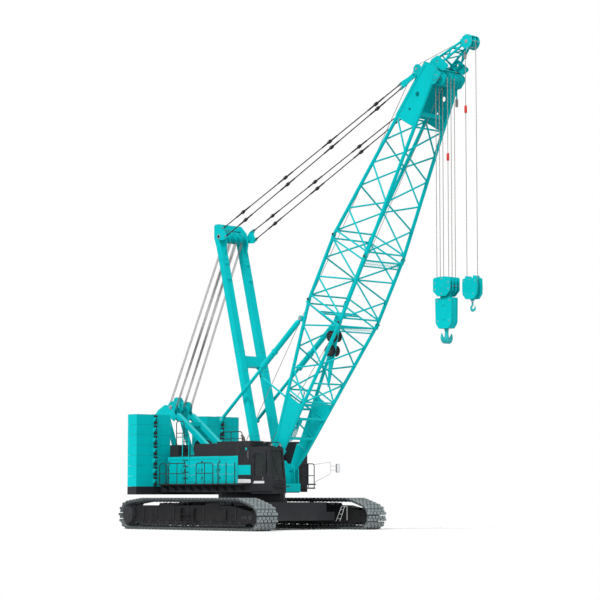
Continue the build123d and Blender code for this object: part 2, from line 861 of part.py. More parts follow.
slab_pitch = (ballast_top - ballast_base[1]) / slab_count
slab_outline = [
    (ballast_x[0], ballast_inner),
    (ballast_x[1] - ballast_bevel[0], ballast_inner),
    (ballast_x[1], ballast_inner + ballast_bevel[1]),
    (ballast_x[1], ballast_half_width),
    (ballast_x[0], ballast_half_width),
]
lug_outline = [(-60, -130), (70, -60), (130, 40), (110, 120), (-60, 150)]
for side, name in ((1, "left"), (-1, "right")):
    with BuildPart() as slabs:
        for i in range(slab_count):
            low = ballast_base[1] + i * slab_pitch
            with BuildSketch(Plane.XY.offset(low + slab_gap / 2)):
                with BuildLine():
                    Polyline(*slab_outline, close=True)
                make_face()
            extrude(amount=slab_pitch - slab_gap)
            seat_x = (ballast_x[0] + slab_seat_inset / 2, ballast_x[1] - slab_seat_inset)
            seat_y = (ballast_inner + ballast_bevel[1], ballast_half_width - slab_seat_inset)
            add(block(seat_x, seat_y, (low, low + slab_pitch)))
            middle = low + slab_pitch / 2
            hook = [(ballast_x[1] + a, middle + b) for a, b in lug_outline]
            for y in (lug_y - ballast_lug_width, lug_y + ballast_lug_width):
                add(plate(hook, y - 20, y + 20))
        if side < 0:
            mirror(about=Plane.XZ, mode=Mode.REPLACE)
    write(slabs.part, f"counterweight_{name}")

# Gantry: two legs, the cheeks at its peak, and the ties down to the rear of the frame
peak_x, peak_z = gantry_peak
cheek_outline = [
    (peak_x - 1060, peak_z - 260),
    (peak_x - 870, peak_z - 60),
    (peak_x - 380, peak_z + 180),
    (peak_x + 80, peak_z + 150),
    (peak_x + 480, peak_z - 400),
    (peak_x + 330, peak_z - 600),
    (peak_x - 200, peak_z - 330),
]
raised_outline = [
    (gantry_axle[0] - 330, gantry_axle[1] - 300),
    (gantry_axle[0] - 390, gantry_axle[1] + 230),
    (gantry_axle[0] - 250, gantry_axle[1] + 460),
    (gantry_axle[0] - 60, gantry_axle[1] + 480),
    (gantry_axle[0] + 110, gantry_axle[1] + 300),
    (gantry_axle[0] + 180, gantry_axle[1] - 300),
]
outer_cheek = gantry_side + gantry_leg_width / 2 + gantry_cheek
inner_cheek = gantry_side - gantry_leg_width / 2 - gantry_cheek
with BuildPart() as gantry:
    foot_point = Vector(gantry_foot[0], gantry_side, gantry_foot[1])
    peak_point = Vector(peak_x, gantry_side, peak_z)
    leg_run = (peak_point - foot_point).normalized()
    leg_end = peak_point - leg_run * gantry_leg_end
    add(both_sides(beam(foot_point, leg_end, gantry_leg_width, gantry_leg_depth)))
    foot_outline = [
        (gantry_foot[0] - 330, deck_top),
        (gantry_foot[0] - 130, gantry_foot[1] + 100),
        (gantry_foot[0] + 110, gantry_foot[1] + 100),
        (gantry_foot[0] + 330, deck_top),
    ]
    half_leg = gantry_leg_width / 2
    add(both_sides(plate(foot_outline, gantry_side - half_leg, gantry_side + half_leg)))
    for start in (inner_cheek, outer_cheek - gantry_cheek):
        add(both_sides(plate(cheek_outline, start, start + gantry_cheek)))
    middle_cheek = gantry_sheave_width / 2 + 20
    add(both_sides(plate(raised_outline, middle_cheek, middle_cheek + gantry_cheek)))
    tie_top = Vector(peak_x - 420, gantry_side, peak_z - 160)
    tie_foot = Vector(deck_rear_x + 180, gantry_side, deck_top + 200)
    add(both_sides(beam(tie_foot, tie_top, gantry_leg_width, 160)))
    shoe_x = (deck_rear_x + 40, deck_rear_x + 320)
    shoe_y = (gantry_side - half_leg, gantry_side + half_leg)
    add(both_sides(block(shoe_x, shoe_y, (deck_top, deck_top + 320))))
    cross_beam_point = foot_point + leg_run * 2900
    cross_x = (cross_beam_point.X - 100, cross_beam_point.X + 100)
    cross_z = (cross_beam_point.Z - 90, cross_beam_point.Z + 90)
    add(block(cross_x, (-gantry_side, gantry_side), cross_z))
    add(disc(gantry_axle, -outer_cheek, outer_cheek, gantry_axle_radius, 16))
write(gantry.part, "gantry")

with BuildPart() as gantry_sheaves:
    for y in (-gantry_side, 0, gantry_side):
        bore = gantry_axle_radius + seat_gap
        add(sheave(gantry_axle, (y,), gantry_sheave_width, gantry_sheave_radius, bore))
write(gantry_sheaves.part, "gantry_sheaves")

# Winch drums between the housings, each on its own pedestals
drum_table = [
    # name, x, z, drum radius, flange radius
    ("boom_hoist_drum", -3350, 3600, 250, 400),
    ("aux_drum", -800, 2560, 260, 420),
    ("main_drum", 350, 2560, 260, 420),
]
with BuildPart() as winch_pedestals:
    for name, x, z, core, flange in drum_table:
        outline = [(x - 330, deck_top), (x - 120, z + 110), (x + 120, z + 110), (x + 330, deck_top)]
        start = drum_half_width + pedestal_gap
        add(both_sides(plate(outline, start, start + pedestal_thickness)))
write(winch_pedestals.part, "winch_pedestals")

for name, x, z, core, flange in drum_table:
    with BuildPart() as drum:
        add(disc((x, z), -drum_half_width, drum_half_width, core))
        add(both_sides(disc((x, z), drum_half_width - drum_flange, drum_half_width, flange)))
        shaft_end = drum_half_width + pedestal_gap - seat_gap
        add(shaft((x, z), -shaft_end, shaft_end, drum_shaft_radius))
    write(drum.part, name)

# Mast: two box legs, an arched cross beam and the head that carries the sheaves
mast_half_depth = mast_leg_depth / 2
mast_lug_end = mast_leg_start + 100
mast_lug = [
    (-120, -120),
    (0, -mast_half_depth),
    (mast_lug_end, -140),
    (mast_lug_end, 140),
    (0, mast_half_depth),
    (-120, 120),
]
mast_head_outline = [
    (9720, mast_half_depth + 20),
    (9720, -mast_half_depth),
    (10250, -420),
    (10750, -420),
    (11200, -mast_half_depth),
    (11270, 120),
    (11200, 200),
    (10700, 330),
    (10250, 280),
]
arch_outline = [
    (mast_beam_along, -mast_side),
    (mast_beam_along - 420, -mast_side),
    (mast_beam_along - 60, -mast_side + 330),
    (mast_beam_along - 60, mast_side - 330),
    (mast_beam_along - 420, mast_side),
    (mast_beam_along, mast_side),
    (mast_beam_along + mast_beam_depth, mast_side),
    (mast_beam_along + mast_beam_depth, -mast_side),
]
with BuildPart() as mast:
    leg_start = at(mast_plane, mast_leg_start, 0, mast_side)
    leg_end = at(mast_plane, mast_head_along, 0, mast_side)
    add(both_sides(beam(leg_start, leg_end, mast_leg_width, mast_leg_depth)))
    add(both_sides(plate(mast_lug, *lug, mast_plane)))
    add(both_sides(shaft(mast_foot, *lug, foot_pin_radius + seat_gap)), mode=Mode.SUBTRACT)
    mast_face = Plane(origin=mast_plane.origin, x_dir=mast_plane.x_dir, z_dir=mast_plane.y_dir)
    with BuildSketch(mast_face.offset(-mast_half_depth + 40)):
        with BuildLine():
            Polyline(*arch_outline, close=True)
        make_face()
    extrude(amount=mast_leg_depth - 80)
    add(both_sides(plate(mast_head_outline, mast_side - 30, mast_side + 50, mast_plane)))
    top_beam = [(10950, 130), (10950, -130), (11200, -130), (11200, 130)]
    add(plate(top_beam, -mast_side, mast_side, mast_plane))
    add(disc(pendant_pivot, -pendant_side - 60, pendant_side + 60, mast_axle_radius, 16))
write(mast.part, "mast")

with BuildPart() as mast_sheaves:
    bore = mast_axle_radius + seat_gap
    add(sheave(pendant_pivot, mast_rows, mast_sheave_width, mast_sheave_radius, bore))
write(mast_sheaves.part, "mast_sheaves")

# Boom: chord lines in the boom's plane, each section between its pinned joints
joint_1 = base_length
joint_2 = base_length + insert_length
boom_end = joint_2 + tip_length
head_sheave = (boom_end - head_sheave_setback, head_sheave_rise)
pendant_anchor = (boom_end - anchor_setback, anchor_rise)


def along_boom(foot_value, middle_value, head_value, along):
    """A size that grows from the foot to the first joint and shrinks beyond the second."""
    if along < joint_1:
        return foot_value + (middle_value - foot_value) * along / joint_1
    if along < joint_2:
        return middle_value
    return middle_value + (head_value - middle_value) * (along - joint_2) / tip_length


def back_rise(along):
    """Height of the back chords' centre line above the boom's axis."""
    return along_boom(foot_rise_back, boom_half_depth, head_rise_back, along)


def belly_rise(along):
    """Height of the belly chords' centre line, below the boom's axis."""
    return along_boom(foot_rise_belly, -boom_half_depth, head_rise_belly, along)


def half_width(along):
    """Half the distance between the chords of one face."""
    return along_boom(foot_side, boom_half_width, head_half_width, along)


def chord_point(along, face, side_sign):
    """A point on a chord: face is 1 for the back and -1 for the belly."""
    rise = back_rise(along) if face > 0 else belly_rise(along)
    return at(boom_plane, along, rise, side_sign * half_width(along))


def lattice(start, end, bays):
    """Zigzag lacing on all four faces, with a closed frame at each end."""
    nodes = [start + (end - start) * i / bays for i in range(bays + 1)]
    bars = []
    for i, (a, b) in enumerate(zip(nodes, nodes[1:])):
        up, down = (1, -1) if i % 2 else (-1, 1)
        for s in (1, -1):
            bars.append(strut(chord_point(a, up, s), chord_point(b, down, s), lacing_radius))
        for face in (1, -1):
            bars.append(strut(chord_point(a, face, up), chord_point(b, face, down), lacing_radius))
    for a in (start, end):
        for s in (1, -1):
            bars.append(strut(chord_point(a, 1, s), chord_point(a, -1, s), lacing_radius))
        for face in (1, -1):
            bars.append(strut(chord_point(a, face, 1), chord_point(a, face, -1), lacing_radius))
    return bars


def chords(start, end):
    """The four chords of a section."""
    return [
        strut(chord_point(start, face, s), chord_point(end, face, s), chord_radius, chord_sides)
        for face in (1, -1)
        for s in (1, -1)
    ]


def joint_lugs(joint, reach, sides):
    """Finger plates on the four chords at a joint; sides are their distances off the chord line."""
    fingers = []
    for rise in (boom_half_depth, -boom_half_depth):
        for offset in sides:
            outline = [(joint + a, rise + b) for a, b in reach]
            start = boom_half_width + offset - finger_width / 2
            fingers += both_sides(plate(outline, start, start + finger_width, boom_plane))
    return fingers


def catwalk(along):
    """A second cross bar on the belly below a frame, with the rungs between the two."""
    bars = [strut(chord_point(along, -1, 1), chord_point(along, -1, -1), lacing_radius)]
    for share in (-0.5, 0, 0.5):
        low = at(boom_plane, along, belly_rise(along), share * half_width(along))
        high = low + boom_plane.x_dir * catwalk_width
        bars.append(strut(low, high, lacing_radius * 0.6))
    return bars


def sloped_plates(outline, start, end, thickness):
    """Two side plates that follow the chords as their distance changes along the boom."""
    origin = at(boom_plane, start, 0, half_width(start))
    run = (at(boom_plane, end, 0, half_width(end)) - origin).normalized()
    flank = Plane(origin=origin, x_dir=run, z_dir=run.cross(boom_plane.y_dir))
    with BuildPart() as side_plate:
        with BuildSketch(flank):
            with BuildLine():
                Polyline(*[(a - start, b) for a, b in outline], close=True)
            make_face()
        extrude(amount=thickness / 2, both=True)
    return both_sides(side_plate.part)


rear_reach = [(-170, -70), (60, -60), (60, 60), (-170, 70)]
front_reach = [(170, -70), (-60, -60), (-60, 60), (170, 70)]
fork = (-finger_width, finger_width)
tongue = (0,)
eye_along = joint_1 - backstop_setback
eye_rise = back_rise(eye_along) + backstop_eye_rise
guide_end = joint_1 - lattice_setback
guide_low = (guide_start, belly_rise(guide_start))
guide_high = (guide_end, 230)
with BuildPart() as boom_base:
    add(chords(900, joint_1 - joint_setback))
    add(joint_lugs(joint_1, rear_reach, fork))
    add(lattice(base_plate_end + 60, joint_1 - lattice_setback, 4))
    add(catwalk(joint_1 - lattice_setback - catwalk_width))
    start, end = base_plate_start, base_plate_end
    side_outline = [
        (start, back_rise(start) + chord_radius),
        (end, back_rise(end) + chord_radius),
        (end, belly_rise(end) - chord_radius),
        (start, belly_rise(start) - chord_radius),
    ]
    add(sloped_plates(side_outline, start, end, base_plate_thickness))
    foot_outline = [(-150, 60), (60, 150), side_outline[0], side_outline[3], (60, -150), (-150, -60)]
    add(both_sides(plate(foot_outline, *lug, boom_plane)))
    add(both_sides(shaft(boom_foot, *lug, foot_pin_radius + seat_gap)), mode=Mode.SUBTRACT)
    for along in belly_tubes:
        tube = strut(chord_point(along, -1, 1), chord_point(along, -1, -1), belly_tube_radius, 6)
        add(tube)
    ear = [
        (eye_along - 150, back_rise(eye_along - 150)),
        (eye_along - 70, eye_rise + 80),
        (eye_along + 70, eye_rise + 80),
        (eye_along + 180, back_rise(eye_along + 180)),
    ]
    ear_end = backstop_side - 60 - pin_gap
    add(both_sides(plate(ear, ear_end - 45, ear_end, boom_plane)))
    stop_pin_end = backstop_side + 60 + pin_gap
    stop_pin = (eye_along, eye_rise)
    add(both_sides(disc(stop_pin, ear_end, stop_pin_end, stop_pin_radius, 12, boom_plane)))
    add(both_sides(disc(stop_pin, stop_pin_end, stop_pin_end + 20, stop_pin_radius * 1.6, 8, boom_plane)))
    guide_outline = [
        (guide_low[0] - 120, guide_low[1] - 30),
        (guide_low[0] + 120, guide_low[1] - 30),
        (guide_high[0], guide_high[1] - 220),
        (guide_high[0], guide_high[1] + 120),
        (guide_high[0] - 900, guide_high[1] + 60),
    ]
    add(plate(guide_outline, -guide_side, guide_side, boom_plane))
    for rise in (guide_high[1] - 150, guide_high[1] + 50):
        half = half_width(guide_end)
        cross_ends = [at(boom_plane, guide_end, rise, s * half) for s in (1, -1)]
        add(strut(*cross_ends, lacing_radius))
    foot_bar = [chord_point(guide_start, -1, 1), chord_point(guide_start, -1, -1)]
    add(strut(*foot_bar, lacing_radius))
write(boom_base.part, "boom_base")


def guide_line(along):
    """Height of the middle of the plate that carries the guide rollers."""
    share = (along - guide_low[0]) / (guide_high[0] - guide_low[0])
    return guide_low[1] + share * (guide_high[1] - guide_low[1])


with BuildPart() as guide_roller_pair:
    for along in guide_rollers:
        start = guide_side + seat_gap
        centre = (along, guide_line(along) + 60)
        roller = disc(centre, start, start + guide_roller_length, guide_roller_radius, 12, boom_plane)
        add(both_sides(roller))
write(guide_roller_pair.part, "guide_rollers")

with BuildPart() as boom_insert:
    add(chords(joint_1 + joint_setback, joint_2 - joint_setback))
    add(joint_lugs(joint_1, front_reach, tongue))
    add(joint_lugs(joint_2, rear_reach, fork))
    add(lattice(joint_1 + lattice_setback, joint_2 - lattice_setback, 3))
    add(catwalk(joint_2 - lattice_setback - catwalk_width))
write(boom_insert.part, "boom_insert")

head_plate_start = boom_end - head_plate_length
head_hole = (boom_end - head_hole_setback, -190)
guide_sheave_centre = (boom_end - guide_sheave_setback, guide_sheave_rise)
with BuildPart() as boom_tip:
    add(chords(joint_2 + joint_setback, boom_end - 100))
    add(joint_lugs(joint_2, front_reach, tongue))
    add(lattice(joint_2 + lattice_setback, head_plate_start, 5))
    head_outline = [
        (head_plate_start, back_rise(head_plate_start) + 90),
        (boom_end, back_rise(boom_end) + 90),
        (boom_end + 60, -300),
        (boom_end - 100, head_rise_belly - 300),
        (boom_end - 560, head_rise_belly - 260),
        (boom_end - 700, head_rise_belly - 60),
        (head_plate_start, belly_rise(head_plate_start) - 60),
    ]
    head_plates = sloped_plates(head_outline, head_plate_start, boom_end, head_plate_thickness)
    add(head_plates)
    reach = half_width(head_plate_start) + head_plate_thickness
    add(disc(head_hole, -reach, reach, head_hole_radius, 16, boom_plane), mode=Mode.SUBTRACT)
    closing_outline = [
        (head_plate_start + 80, back_rise(head_plate_start + 80) - 20),
        (boom_end - 120, back_rise(boom_end) - 20),
        (boom_end - 120, back_rise(boom_end) + 10),
        (head_plate_start + 80, back_rise(head_plate_start + 80) + 10),
    ]
    add(plate(closing_outline, -head_half_width, head_half_width, boom_plane))
    tube_along = boom_end - head_tube_setback
    tube_half = half_width(tube_along)
    tube_ends = [at(boom_plane, tube_along, -476, s * tube_half) for s in (1, -1)]
    add(strut(*tube_ends, 90, 12))
    add(shaft(head_sheave, -head_half_width, head_half_width, head_axle_radius, boom_plane))
    boss_end = pendant_side - pendant_plate / 2 - seat_gap
    add(both_sides(disc(pendant_anchor, head_half_width - 20, boss_end, 110, 16, boom_plane)))
    stand = [
        (guide_sheave_centre[0] - 260, 90),
        (guide_sheave_centre[0] - 90, guide_sheave_rise + 70),
        (guide_sheave_centre[0] + 90, guide_sheave_rise + 70),
        (guide_sheave_centre[0] + 260, 60),
    ]
    half_gap = guide_sheave_width / 2 + pin_gap
    for start in (guide_sheave_side - half_gap - 20, guide_sheave_side + half_gap):
        add(plate(stand, start, start + 20, boom_plane))
    pin = (guide_sheave_side - half_gap, guide_sheave_side + half_gap)
    add(disc(guide_sheave_centre, *pin, guide_pin_radius, 12, boom_plane))
write(boom_tip.part, "boom_tip")

with BuildPart() as guide_sheave:
    bore = guide_pin_radius + seat_gap
    row = (guide_sheave_side,)
    add(sheave(guide_sheave_centre, row, guide_sheave_width, guide_sheave_radius, bore, boom_plane))
write(guide_sheave.part, "guide_sheave")

with BuildPart() as head_sheaves:
    bore = head_axle_radius + seat_gap
    add(sheave(head_sheave, head_rows, head_row_width, main_sheave_radius, bore, boom_plane))
write(head_sheaves.part, "head_sheaves")

# Auxiliary jib: four chords laced into a short tapered frame, with the sheave in its cheeks
aux_point = at(boom_plane, boom_end + aux_head_reach, aux_head_rise)
aux_head = (aux_point.X, aux_point.Z)
jib_root = boom_end - 60
with BuildPart() as aux_jib:
    cheek_middle = sum(jib_cheek) / 2
    reach = half_width(jib_root + jib_pin_radius) - head_plate_thickness / 2 - seat_gap
    corners = {}
    for rise, tip_rise in ((0, 60), (-420, -110)):
        add(disc((jib_root, rise), -reach, reach, jib_pin_radius, 8, boom_plane))
        for s in (1, -1):
            root = at(boom_plane, jib_root, rise, s * (reach - 60))
            tip = Vector(aux_head[0] - 240, s * cheek_middle, aux_head[1] + tip_rise)
            corners[rise, s] = (root, tip)
            add(strut(root, tip, jib_chord_radius, 6))
    for s in (1, -1):
        for share_top, share_low in ((0.1, 0.4), (0.7, 0.4), (0.7, 0.9)):
            top = corners[0, s][0] + (corners[0, s][1] - corners[0, s][0]) * share_top
            low = corners[-420, s][0] + (corners[-420, s][1] - corners[-420, s][0]) * share_low
            add(strut(top, low, jib_lacing_radius))
    for rise in (0, -420):
        for share, other in ((0.1, 0.4), (0.7, 0.4), (0.7, 0.7)):
            near = corners[rise, 1][0] + (corners[rise, 1][1] - corners[rise, 1][0]) * share
            far = corners[rise, -1][0] + (corners[rise, -1][1] - corners[rise, -1][0]) * other
            add(strut(near, far, jib_lacing_radius))
    cheek_outline = [
        (aux_head[0] - 340, aux_head[1] - 190),
        (aux_head[0] - 340, aux_head[1] + 130),
        (aux_head[0], aux_head[1] + 150),
        (aux_head[0], aux_head[1] - 150),
    ]
    for start, end in (jib_cheek, (-jib_cheek[1], -jib_cheek[0])):
        add(disc(aux_head, start, end, aux_sheave_radius + 30))
        add(plate(cheek_outline, start, end))
    add(shaft(aux_head, -jib_cheek[1], jib_cheek[1], aux_axle_radius))
write(aux_jib.part, "aux_jib")

with BuildPart() as aux_sheave:
    add(sheave(aux_head, (0,), 120, aux_sheave_radius, aux_axle_radius + seat_gap))
write(aux_sheave.part, "aux_sheave")

# Pendants: two lines on each side, from the mast head to the back of the boom head
anchor = at(boom_plane, *pendant_anchor)
pivot = Vector(pendant_pivot[0], 0, pendant_pivot[1])
pendant_run = (anchor - pivot).normalized()
pendant_up = Vector(-pendant_run.Z, 0, pendant_run.X)
pendant_y = Vector(0, pendant_side, 0)
sleeve_shares = (0.12, 0.37, 0.62, 0.87)
with BuildPart() as pendants:
    for rear_spread, front_spread in ((215, 95), (-215, -95)):
        start = pivot + pendant_y + pendant_run * 400 + pendant_up * rear_spread
        end = anchor + pendant_y - pendant_run * 800 + pendant_up * front_spread
        add(both_sides(strut(start, end, pendant_rod_radius)))
        for share in sleeve_shares:
            middle = start + (end - start) * share
            half = (end - start).normalized() * pendant_sleeve_length / 2
            add(both_sides(strut(middle - half, middle + half, pendant_sleeve_radius)))
    for centre, spread, near, far in ((pivot, 290, -110, 480), (anchor, 170, -880, 110)):
        corners = [
            centre + pendant_run * near + pendant_up * spread * 0.6,
            centre + pendant_run * (near + far) / 2 + pendant_up * spread,
            centre + pendant_run * far + pendant_up * spread,
            centre + pendant_run * far - pendant_up * spread,
            centre + pendant_run * (near + far) / 2 - pendant_up * spread,
            centre + pendant_run * near - pendant_up * spread * 0.6,
        ]
        outline = [(corner.X, corner.Z) for corner in corners]
        half = pendant_plate / 2
        add(both_sides(plate(outline, pendant_side - half, pendant_side + half)))
    bore = shaft(pendant_pivot, pendant_side - half, pendant_side + half, mast_axle_radius + seat_gap)
    add(both_sides(bore), mode=Mode.SUBTRACT)
write(pendants.part, "pendants")

# Main hook block: rope falls, hexagonal cheeks with sheaves, the body below and a double hook
head_centre = at(boom_plane, *head_sheave)
hook_x = head_centre.X
block_axle = head_centre.Z - main_fall_length
fall_x = main_sheave_radius + rope_radius + seat_gap
with BuildPart() as main_falls:
    for y in (-200, 0, 200):
        for x in (-fall_x, fall_x):
            top = Vector(hook_x + x, main_block_side + y, head_centre.Z)
            add(strut(top, Vector(top.X, top.Y, block_axle), rope_radius))
write(main_falls.part, "main_falls")

cheek_half, block_half = main_cheek
body_top = block_axle - 460
body_bottom = body_top - 1230
cheek_hexagon = [
    (hook_x - 230, block_axle - 400),
    (hook_x - cheek_half, block_axle - 160),
    (hook_x - cheek_half, block_axle + 200),
    (hook_x - 230, block_axle + 390),
    (hook_x + 230, block_axle + 390),
    (hook_x + cheek_half, block_axle + 200),
    (hook_x + cheek_half, block_axle - 160),
    (hook_x + 230, block_axle - 400),
]
body_outline = [
    (hook_x - 260, body_bottom),
    (hook_x - 430, body_bottom + 260),
    (hook_x - 450, body_top),
    (hook_x + 450, body_top),
    (hook_x + 430, body_bottom + 260),
    (hook_x + 260, body_bottom),
]
with BuildPart() as main_block:
    for start in (-block_half - 40, -120, 80, block_half):
        side = main_block_side + start
        add(plate(cheek_hexagon, side, side + 40))
    rim = (main_block_side - block_half, main_block_side + block_half)
    add(disc((hook_x, block_axle), *rim, main_sheave_radius))
    neck = (main_block_side - 130, main_block_side + 130)
    add(block((hook_x - 220, hook_x + 220), neck, (body_top - 60, block_axle)))
    add(plate(body_outline, main_block_side - 190, main_block_side + 190))
    for z in (body_bottom + 420, body_top - 250):
        boss = (main_block_side - 215, main_block_side + 215)
        add(disc((hook_x, z), *boss, 90, 12))
write(main_block.part, "main_block")

# A double hook: two horns that rise beside the shank, with the bored middle for a shackle
hook_top = body_bottom - seat_gap
hook_half = [
    (0, -150),
    (60, -160),
    (110, -240),
    (210, -300),
    (270, -230),
    (300, -170),
    (345, -200),
    (350, -330),
    (270, -500),
    (130, -600),
    (0, -620),
]
with BuildPart() as main_hook:
    add(rod(Vector(hook_x, main_block_side, hook_top), Vector(hook_x, main_block_side, hook_top - 160), 90))
    with BuildSketch(Plane.YZ.offset(hook_x - 70)):
        with BuildLine():
            right = [(main_block_side + y, hook_top + z) for y, z in hook_half]
            left = [(main_block_side - y, hook_top + z) for y, z in hook_half[1:-1]]
            Polyline(*right, *reversed(left), close=True)
        make_face()
    extrude(amount=140)
    shackle_hole = Vector(hook_x - 70, main_block_side, hook_top - 420)
    add(rod(shackle_hole, shackle_hole + Vector(140, 0, 0), shackle_hole_radius), mode=Mode.SUBTRACT)
write(main_hook.part, "main_hook")

# Auxiliary block: round cheeks with ears, and a single hook
aux_axle = aux_head[1] - aux_fall_length
aux_fall_x = aux_sheave_radius + rope_radius + seat_gap
with BuildPart() as aux_falls:
    for x in (-aux_fall_x, aux_fall_x):
        top = Vector(aux_head[0] + x, 0, aux_head[1])
        add(strut(top, Vector(top.X, 0, aux_axle), rope_radius))
write(aux_falls.part, "aux_falls")

aux_body_bottom = aux_axle - 560
with BuildPart() as aux_block:
    for start in (-190, 90):
        add(disc((aux_head[0], aux_axle), start, start + 100, aux_cheek_radius, 8))
    for x in (-270, 150):
        ear_z = (aux_axle + 250, aux_axle + 430)
        add(block((aux_head[0] + x, aux_head[0] + x + 120), (-150, 150), ear_z))
    add(disc((aux_head[0], aux_axle), -200, 200, 110, 12))
    add(disc((aux_head[0], aux_axle), -90, 90, aux_sheave_radius))
    add(block((aux_head[0] - 90, aux_head[0] + 90), (-90, 90), (aux_body_bottom, aux_axle - 200)))
write(aux_block.part, "aux_block")

single_hook = [
    (-45, -80),
    (45, -80),
    (60, -170),
    (20, -215),
    (-20, -270),
    (0, -330),
    (60, -345),
    (115, -300),
    (120, -235),
    (165, -215),
    (175, -310),
    (120, -400),
    (20, -430),
    (-80, -400),
    (-125, -310),
    (-110, -210),
    (-60, -150),
]
with BuildPart() as aux_hook:
    hook_start = aux_body_bottom - seat_gap
    add(rod(Vector(aux_head[0], 0, hook_start), Vector(aux_head[0], 0, hook_start - 100), 45))
    hook_outline = [(aux_head[0] + x, hook_start + z) for x, z in single_hook]
    add(plate(hook_outline, -40, 40))
write(aux_hook.part, "aux_hook")

# Backstops: barrels pinned at the back chords, and rods that slide into them
eye = at(boom_plane, eye_along, eye_rise)
stop_plane = member_plane((eye.X, eye.Z), backstop_angle)
eye_side = (backstop_side - 60, backstop_side + 60)
with BuildPart() as backstop_barrels:
    barrel = (at(stop_plane, 150, 0, backstop_side), at(stop_plane, barrel_length, 0, backstop_side))
    add(both_sides(strut(*barrel, barrel_radius, 12)))
    for start in (barrel_length - 1000, barrel_length - 90):
        collar = (at(stop_plane, start, 0, backstop_side), at(stop_plane, start + 90, 0, backstop_side))
        add(both_sides(strut(*collar, barrel_radius + 30, 12)))
    add(both_sides(disc((0, 0), *eye_side, 130, 12, stop_plane)))
    neck = [(0, -60), (250, -60), (250, 60), (0, 60)]
    add(both_sides(plate(neck, *eye_side, stop_plane)))
    add(both_sides(shaft((0, 0), *eye_side, stop_pin_radius + seat_gap, stop_plane)), mode=Mode.SUBTRACT)
    bore_run = (at(stop_plane, 1500, 0, backstop_side), at(stop_plane, barrel_length, 0, backstop_side))
    add(both_sides(strut(*bore_run, stop_rod_radius + seat_gap, 12)), mode=Mode.SUBTRACT)
write(backstop_barrels.part, "backstop_barrels")

with BuildPart() as backstop_rods:
    run = (at(stop_plane, 2700, 0, backstop_side), at(stop_plane, backstop_length, 0, backstop_side))
    add(both_sides(strut(*run, stop_rod_radius, 12)))
    add(both_sides(disc((backstop_length, 0), *eye_side, 120, 12, stop_plane)))
write(backstop_rods.part, "backstop_rods")

# Struts on the back of the boom base that hold the mast when the boom is laid down
with BuildPart() as mast_stops:
    along = base_plate_end - 300
    foot_height = back_rise(along + mast_stop_radius) + chord_radius + seat_gap
    side = mast_side + mast_leg_width / 2 + mast_stop_radius + 4 * pin_gap
    base = at(boom_plane, along, foot_height, side)
    tip = at(boom_plane, along, foot_height + mast_stop_length, side)
    add(both_sides(strut(base, tip, mast_stop_radius, 8)))
write(mast_stops.part, "mast_stops")
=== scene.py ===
"""Crawler crane: the packed frame, dressed for the render and for the visual model."""
import json
from math import acos, asin, atan2, cos, hypot, pi, radians, sin

import bmesh
import bpy
from bpy.props import FloatProperty, FloatVectorProperty, IntProperty, PointerProperty
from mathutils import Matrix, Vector
from mathutils.geometry import delaunay_2d_cdt


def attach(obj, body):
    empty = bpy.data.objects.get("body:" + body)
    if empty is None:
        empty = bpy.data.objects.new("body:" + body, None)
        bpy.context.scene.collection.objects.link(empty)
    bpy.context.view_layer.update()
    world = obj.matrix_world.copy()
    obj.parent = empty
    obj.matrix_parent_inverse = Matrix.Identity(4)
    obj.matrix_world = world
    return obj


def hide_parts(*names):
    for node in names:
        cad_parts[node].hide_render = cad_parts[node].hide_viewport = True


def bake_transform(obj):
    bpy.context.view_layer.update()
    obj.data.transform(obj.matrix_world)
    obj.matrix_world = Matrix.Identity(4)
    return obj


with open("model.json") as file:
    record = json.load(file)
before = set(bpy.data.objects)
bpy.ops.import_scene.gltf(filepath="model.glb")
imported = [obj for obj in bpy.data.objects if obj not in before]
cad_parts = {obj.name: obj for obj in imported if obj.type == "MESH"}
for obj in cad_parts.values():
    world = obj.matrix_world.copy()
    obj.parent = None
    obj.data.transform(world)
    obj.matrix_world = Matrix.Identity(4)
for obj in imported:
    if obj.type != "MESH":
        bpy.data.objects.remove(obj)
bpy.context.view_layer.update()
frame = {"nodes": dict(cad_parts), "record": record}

bl_info = {
    "name": "Crawler crane",
    "version": (1, 0, 0),
    "blender": (4, 5, 0),
    "location": "View3D > Sidebar > Crane",
    "description": "Pieces, finishes and stage of a crawler crane with a lattice boom",
    "category": "Object",
}

# Side planes of the inclined members: foot point (x, z) and angle
MACHINE = ((0.0, 0.0), 0.0)
BOOM = ((2.0, 2.66), radians(59.7))
MAST = ((1.2, 2.8), radians(104.8))

SIDES = (1, -1)
LEFT = Vector((0, 1, 0))
UP = Vector((0, 0, 1))
FRONT = Vector((1, 0, 0))

# Places in metres, as the solids have them
CLEAR = 0.0003
JOINT_1 = 7.62
JOINT_2 = JOINT_1 + 3.048
TIP_LENGTH = 8.23
BOOM_END = JOINT_2 + TIP_LENGTH
CHORD_GAP = 0.11
FRAME_GAP = 0.19
STEP_GAP = 0.45
HALF_WIDTH = 1.1
HALF_DEPTH = 1.085
FOOT_SIDE = 0.66
HEAD_HALF_WIDTH = 0.72
HEAD_PLATE_START = BOOM_END - 2.53
HEAD_PLATE_HALF = 0.03
CHORD = 0.076
LACING = 0.038
GUIDE_START = 4.54
GUIDE_END = JOINT_1 - FRAME_GAP
GUIDE_TOP = 0.23
ROLLER_PLACES = (5.876, 6.465)
ROLLER_RADIUS = 0.205
EYE_ALONG = JOINT_1 - 0.97
EYE_LIFT = 0.23
BACKSTOP_SIDE = 1.05
HEAD_SHEAVE = (BOOM_END - 0.338, -0.77)
GUIDE_SHEAVE = (BOOM_END - 0.49, 0.68)
GUIDE_SIDE = -0.45
PENDANT_ANCHOR = (BOOM_END - 0.673, 0.287)
PENDANT_SIDE = 0.88
MAST_PIVOT = (-1.24, 13.05)
MAST_LEG_SIDE = 0.62
